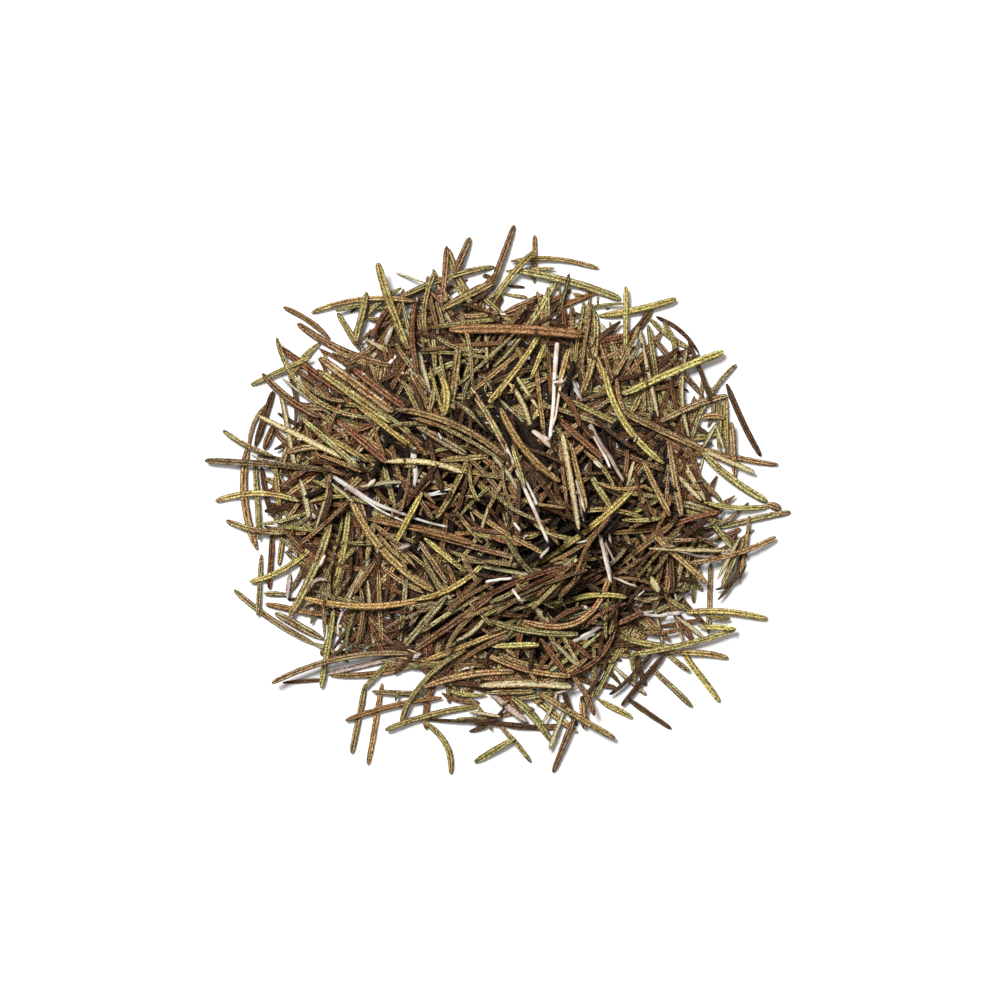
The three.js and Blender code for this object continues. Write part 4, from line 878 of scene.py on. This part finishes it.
class Graph:
    """A material's nodes, with short calls to add them and join them."""

    def __init__(self, name):
        self.material = bpy.data.materials.new(name)
        self.material.use_nodes = True
        self.nodes = self.material.node_tree.nodes
        self.links = self.material.node_tree.links
        self.shader = self.nodes["Principled BSDF"]

    def add(self, kind, **settings):
        node = self.nodes.new(kind)
        for key, value in settings.items():
            setattr(node, key, value)
        return node

    def feed(self, value, socket):
        """Joins an output to a socket, or sets a constant on it."""
        if isinstance(value, bpy.types.NodeSocket):
            self.links.new(value, socket)
        else:
            socket.default_value = value

    def attribute(self, name, output):
        return self.add("ShaderNodeAttribute", attribute_name=name).outputs[output]

    def maths(self, operation, a, b=0.0):
        node = self.add("ShaderNodeMath", operation=operation)
        self.feed(a, node.inputs[0])
        self.feed(b, node.inputs[1])
        return node.outputs[0]

    def product(self, value, *others):
        for other in others:
            value = self.maths("MULTIPLY", value, other)
        return value

    def ramp(self, value, low, high, to_low=0.0, to_high=1.0):
        """Maps low..high smoothly to to_low..to_high."""
        node = self.add("ShaderNodeMapRange", interpolation_type="SMOOTHSTEP")
        for socket, number in zip(node.inputs, (value, low, high, to_low, to_high)):
            self.feed(number, socket)
        return node.outputs[0]

    def mix(self, factor, a, b, blend="MIX"):
        node = self.add("ShaderNodeMix", data_type="RGBA", blend_type=blend)
        self.feed(factor, node.inputs["Factor"])
        self.feed(a, node.inputs[6])  # the colour sockets A and B
        self.feed(b, node.inputs[7])
        return node.outputs[2]

    def tinted(self, colour, tint):
        return self.mix(1.0, colour, (*tint, 1.0), "MULTIPLY")

    def scaled(self, vector, scale):
        node = self.add("ShaderNodeVectorMath", operation="MULTIPLY")
        self.feed(vector, node.inputs[0])
        node.inputs[1].default_value = scale
        return node.outputs[0]

    def millimetres(self):
        """Places on the object in millimetres."""
        return self.scaled(self.add("ShaderNodeTexCoord").outputs["Object"], (1 / MM, 1 / MM, 1 / MM))

    def noise(self, vector, scale, detail=3.0, roughness=0.55):
        node = self.add("ShaderNodeTexNoise")
        self.feed(vector, node.inputs["Vector"])
        node.inputs["Scale"].default_value = scale
        node.inputs["Detail"].default_value = detail
        node.inputs["Roughness"].default_value = roughness
        return node.outputs["Fac"]

    def cells(self, vector, scale):
        """Distance to the nearest of scattered points."""
        node = self.add("ShaderNodeTexVoronoi")
        self.feed(vector, node.inputs["Vector"])
        node.inputs["Scale"].default_value = scale
        return node.outputs["Distance"]

    def bump(self, height, distance, strength=1.0):
        node = self.add("ShaderNodeBump")
        node.inputs["Strength"].default_value = strength
        node.inputs["Distance"].default_value = distance
        self.feed(height, node.inputs["Height"])
        self.feed(node.outputs["Normal"], self.shader.inputs["Normal"])

    def finish(self, colour, roughness, specular):
        """Feeds the shader, and gives the material."""
        self.feed(colour, self.shader.inputs["Base Color"])
        self.feed(roughness, self.shader.inputs["Roughness"])
        self.feed(specular, self.shader.inputs["Specular IOR Level"])
        return self.material


def make_leaf_material():
    """Dry leaf: pebbled above, its mottle partly tone and partly painted highlight and shade; painted shade
    in the groove, at the edges and in the pits; browned ends; pale dust with painted highlight; woolly below.
    """
    graph = Graph("dried_rosemary_leaf")
    where = graph.millimetres()
    leaf_place = graph.attribute("leaf_place", "Vector")
    place = graph.add("ShaderNodeSeparateXYZ")
    graph.feed(leaf_place, place.inputs[0])
    aside = graph.maths("ABSOLUTE", place.outputs["X"])
    woolly = place.outputs["Z"]
    draw = graph.attribute("leaf_draw", "Fac")

    patches = graph.ramp(graph.noise(where, 0.5, 2.0), 0.42, 0.6)
    mottle = graph.noise(where, 3.4, 4.0, 0.7)
    pits = graph.cells(where, 4.6)
    pitted = graph.ramp(pits, 0.55, 0.2)
    broken = graph.ramp(graph.noise(where, 0.9, 3.0), 0.36, 0.6, 0.3, 1.0)
    strong = graph.ramp(draw, 0.0, 0.7, 0.4, 1.0)
    groove = graph.product(graph.ramp(aside, 0.26, 0.02), graph.attribute("upper", "Fac"), broken, strong)
    edge = graph.product(graph.ramp(aside, 0.62, 0.95), graph.ramp(woolly, 0.4, 0.0))
    near_end = graph.ramp(graph.attribute("from_end", "Fac"), 1.6, 0.0)

    colour = graph.attribute("leaf_colour", "Color")
    fresh = graph.ramp(colour, 0.02, 0.15)
    aged = graph.product(patches, graph.ramp(draw, 0.1, 0.9, 0.25, 1.0))
    colour = graph.mix(aged, colour, graph.tinted(colour, BROWNED))
    pale = graph.product(graph.ramp(draw, 0.0, 1.0, 0.12, 0.42), fresh)
    # Pale dust together with a painted highlight: the colour made about three times as bright, with cream.
    dust_and_highlight = graph.mix(pale, graph.tinted(colour, DUST_AND_HIGHLIGHT), CREAM)
    # The mottle is partly the leaf's own tone and partly painted highlight and shade on its pebbled grain.
    light = graph.ramp(mottle, 0.4, 0.62)
    colour = graph.mix(light, graph.tinted(colour, DARK), graph.tinted(colour, LIGHT))
    shade = graph.tinted(colour, SHADED)
    # Painted shade in the pits, the groove and at the rolled edges; the ends take the same darker colour as
    # browned tips.
    for mask, strength in ((pitted, 0.7), (groove, 0.85), (edge, 0.85), (near_end, 0.6)):
        colour = graph.mix(graph.product(mask, strength), colour, shade)

    fuzz = graph.noise(where, 5.0, 3.0, 0.7)
    streaks = graph.noise(graph.scaled(leaf_place, (2.4, 0.3, 1.0)), 1.0, 3.0, 0.6)
    ridge = graph.product(graph.ramp(aside, 0.15, 0.4), graph.ramp(aside, 0.75, 0.5))
    # Where these flecks are low they are painted shade; where high, pale dust with a painted highlight,
    # raised along the two ridges beside the groove.
    dust_and_painted_light = graph.maths("ADD", graph.product(streaks, 0.3), graph.product(fuzz, 0.7))
    dust_and_painted_light = graph.maths("ADD", dust_and_painted_light, graph.ramp(ridge, 0.0, 1.0, -0.02, 0.035))
    colour = graph.mix(graph.ramp(dust_and_painted_light, 0.46, 0.34, 0.0, 0.8), colour, shade)
    colour = graph.mix(graph.ramp(dust_and_painted_light, 0.5, 0.6, 0.0, 0.95), colour, dust_and_highlight)
    band = graph.product(graph.ramp(woolly, 0.3, 0.9), graph.ramp(fuzz, 0.36, 0.56, 0.35, 1.0))
    colour = graph.mix(band, colour, graph.attribute("wool_colour", "Color"))

    height = graph.maths("ADD", graph.ramp(pits, 0.05, 0.6), graph.product(mottle, 0.8))
    height = graph.maths("SUBTRACT", height, graph.product(groove, 0.8))
    height = graph.maths("ADD", height, graph.product(fuzz, woolly, 0.8))
    graph.bump(height, 0.1 * MM)
    return graph.finish(colour, graph.ramp(mottle, 0.3, 0.7, 0.72, 0.5), 0.2)


def make_stem_material():
    """Split dry stem: pale cream wood with fine fibres along it and a few grey-lilac and brown stains."""
    graph = Graph("dried_stem_splinter")
    place = graph.attribute("leaf_place", "Vector")
    fibres = graph.noise(graph.scaled(place, (5.0, 0.7, 1.0)), 2.0, 4.0, 0.6)
    stains = graph.ramp(graph.noise(graph.millimetres(), 0.45, 3.0), 0.46, 0.62)
    colour = graph.attribute("leaf_colour", "Color")
    colour = graph.mix(graph.ramp(fibres, 0.62, 0.36), colour, graph.tinted(colour, (0.66, 0.6, 0.56)))
    colour = graph.mix(graph.product(stains, 0.8), colour, graph.tinted(colour, (0.62, 0.5, 0.48)))
    graph.bump(fibres, 0.08 * MM, 0.8)
    return graph.finish(colour, graph.ramp(fibres, 0.3, 0.7, 0.6, 0.8), 0.3)


def make_floor():
    """A large white paper surface."""
    graph = Graph("white_paper")
    grain = graph.noise(graph.millimetres(), 1.5, 3.0)
    half = FLOOR_HALF * MM
    corners = [(-half, -half, 0), (half, -half, 0), (half, half, 0), (-half, half, 0)]
    data = bpy.data.meshes.new("floor")
    data.from_pydata(corners, [], [(0, 1, 2, 3)])
    colour = graph.mix(grain, (0.93, 0.93, 0.935, 1.0), (0.96, 0.96, 0.96, 1.0))
    data.materials.append(graph.finish(colour, roughness=0.95, specular=0.1))
    floor = bpy.data.objects.new("floor", data)
    bpy.context.collection.objects.link(floor)


def make_light(name, place, size, power):
    """A square soft light that faces the heap."""
    data = bpy.data.lights.new(name, "AREA")
    data.size = size * MM
    data.energy = power
    light = bpy.data.objects.new(name, data)
    x, y, z = place
    light.location = (x * MM, y * MM, z * MM)
    light.rotation_euler = (math.atan2(math.hypot(x, y), z), 0, math.atan2(y, x) + math.pi / 2)
    bpy.context.collection.objects.link(light)


def make_view():
    """The camera straight over the heap, soft light, and plain colours."""
    scene = bpy.context.scene
    camera = bpy.data.cameras.new("camera")
    camera.lens = LENS
    camera.sensor_width = SENSOR
    camera.clip_start = 0.01
    holder = bpy.data.objects.new("camera", camera)
    height = FOCUS_HEIGHT + FRAME_WIDTH * LENS / SENSOR
    holder.location = (FRAME_MIDDLE[0] * MM, FRAME_MIDDLE[1] * MM, height * MM)
    bpy.context.collection.objects.link(holder)
    scene.camera = holder
    world = bpy.data.worlds.new("soft_daylight")
    world.use_nodes = True
    background = world.node_tree.nodes["Background"]
    background.inputs["Color"].default_value = (1.0, 1.0, 1.0, 1.0)
    background.inputs["Strength"].default_value = WORLD_STRENGTH
    scene.world = world
    make_light("key_light", KEY_PLACE, KEY_SIZE, KEY_POWER)
    make_light("fill_light", SOFT_PLACE, SOFT_SIZE, SOFT_POWER)
    scene.view_settings.view_transform = "Standard"
    scene.view_settings.look = "None"


def split_strands(leaves, random):
    """The thinner strands that split off the longer stem splinters at a narrow angle."""
    strands = []
    for stem in leaves:
        if stem.kind == "stem" and stem.length > STRAND_STEM:
            share = random.uniform(*STRAND_SHARES)
            turn = random.choice([-1, 1]) * random.uniform(*STRAND_ANGLES)
            line = share * (stem.tip - stem.base)
            across = np.array([-line[1], line[0]])
            tip = stem.base + line * math.cos(turn) + across * math.sin(turn)
            row = [*stem.base, *tip, STRAND_BOW * stem.bow, STRAND_WIDTH * stem.true_width, "stem"]
            strand = slim_leaf(row, LEAST_BIT_WIDTH)
            strand.low = (stem.low[0], stem.underside(share) + STRAND_RISE)
            strand.node = stem.node
            strands.append(strand)
    return strands


random = np.random.default_rng(SEED)
leaf_material = make_leaf_material()
stem_material = make_stem_material()
leaves, surface, seen = read_leaves()
leaves += split_strands(leaves, random)
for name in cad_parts:
    members = [leaf for leaf in leaves if leaf.node == name]
    if members:
        build_piece(f"{name}_fine", members, random, node=name)
lone = [leaf for leaf in leaves if leaf.node is None]
filling = fill_heap(leaves, surface, seen, random)
cover = cover_paper(surface, random)
bits = drop_on_top(rows_of(TOP_BITS), surface)
crumbs = drop_on_top(crumb_rows(random), surface)
for group, members, step in (
    ("short_leaves", lone, RING_STEP),
    ("inner_leaves", filling + cover, FILL_RING_STEP),
    ("top_bits", bits, RING_STEP),
    ("crumbs", crumbs, FILL_RING_STEP),
):
    for family in SLOTS:
        chosen = [leaf for leaf in members if KINDS[leaf.kind][2] == family]
        if chosen:
            build_piece(f"{group}_{family}", chosen, random, step)
make_floor()
make_view()
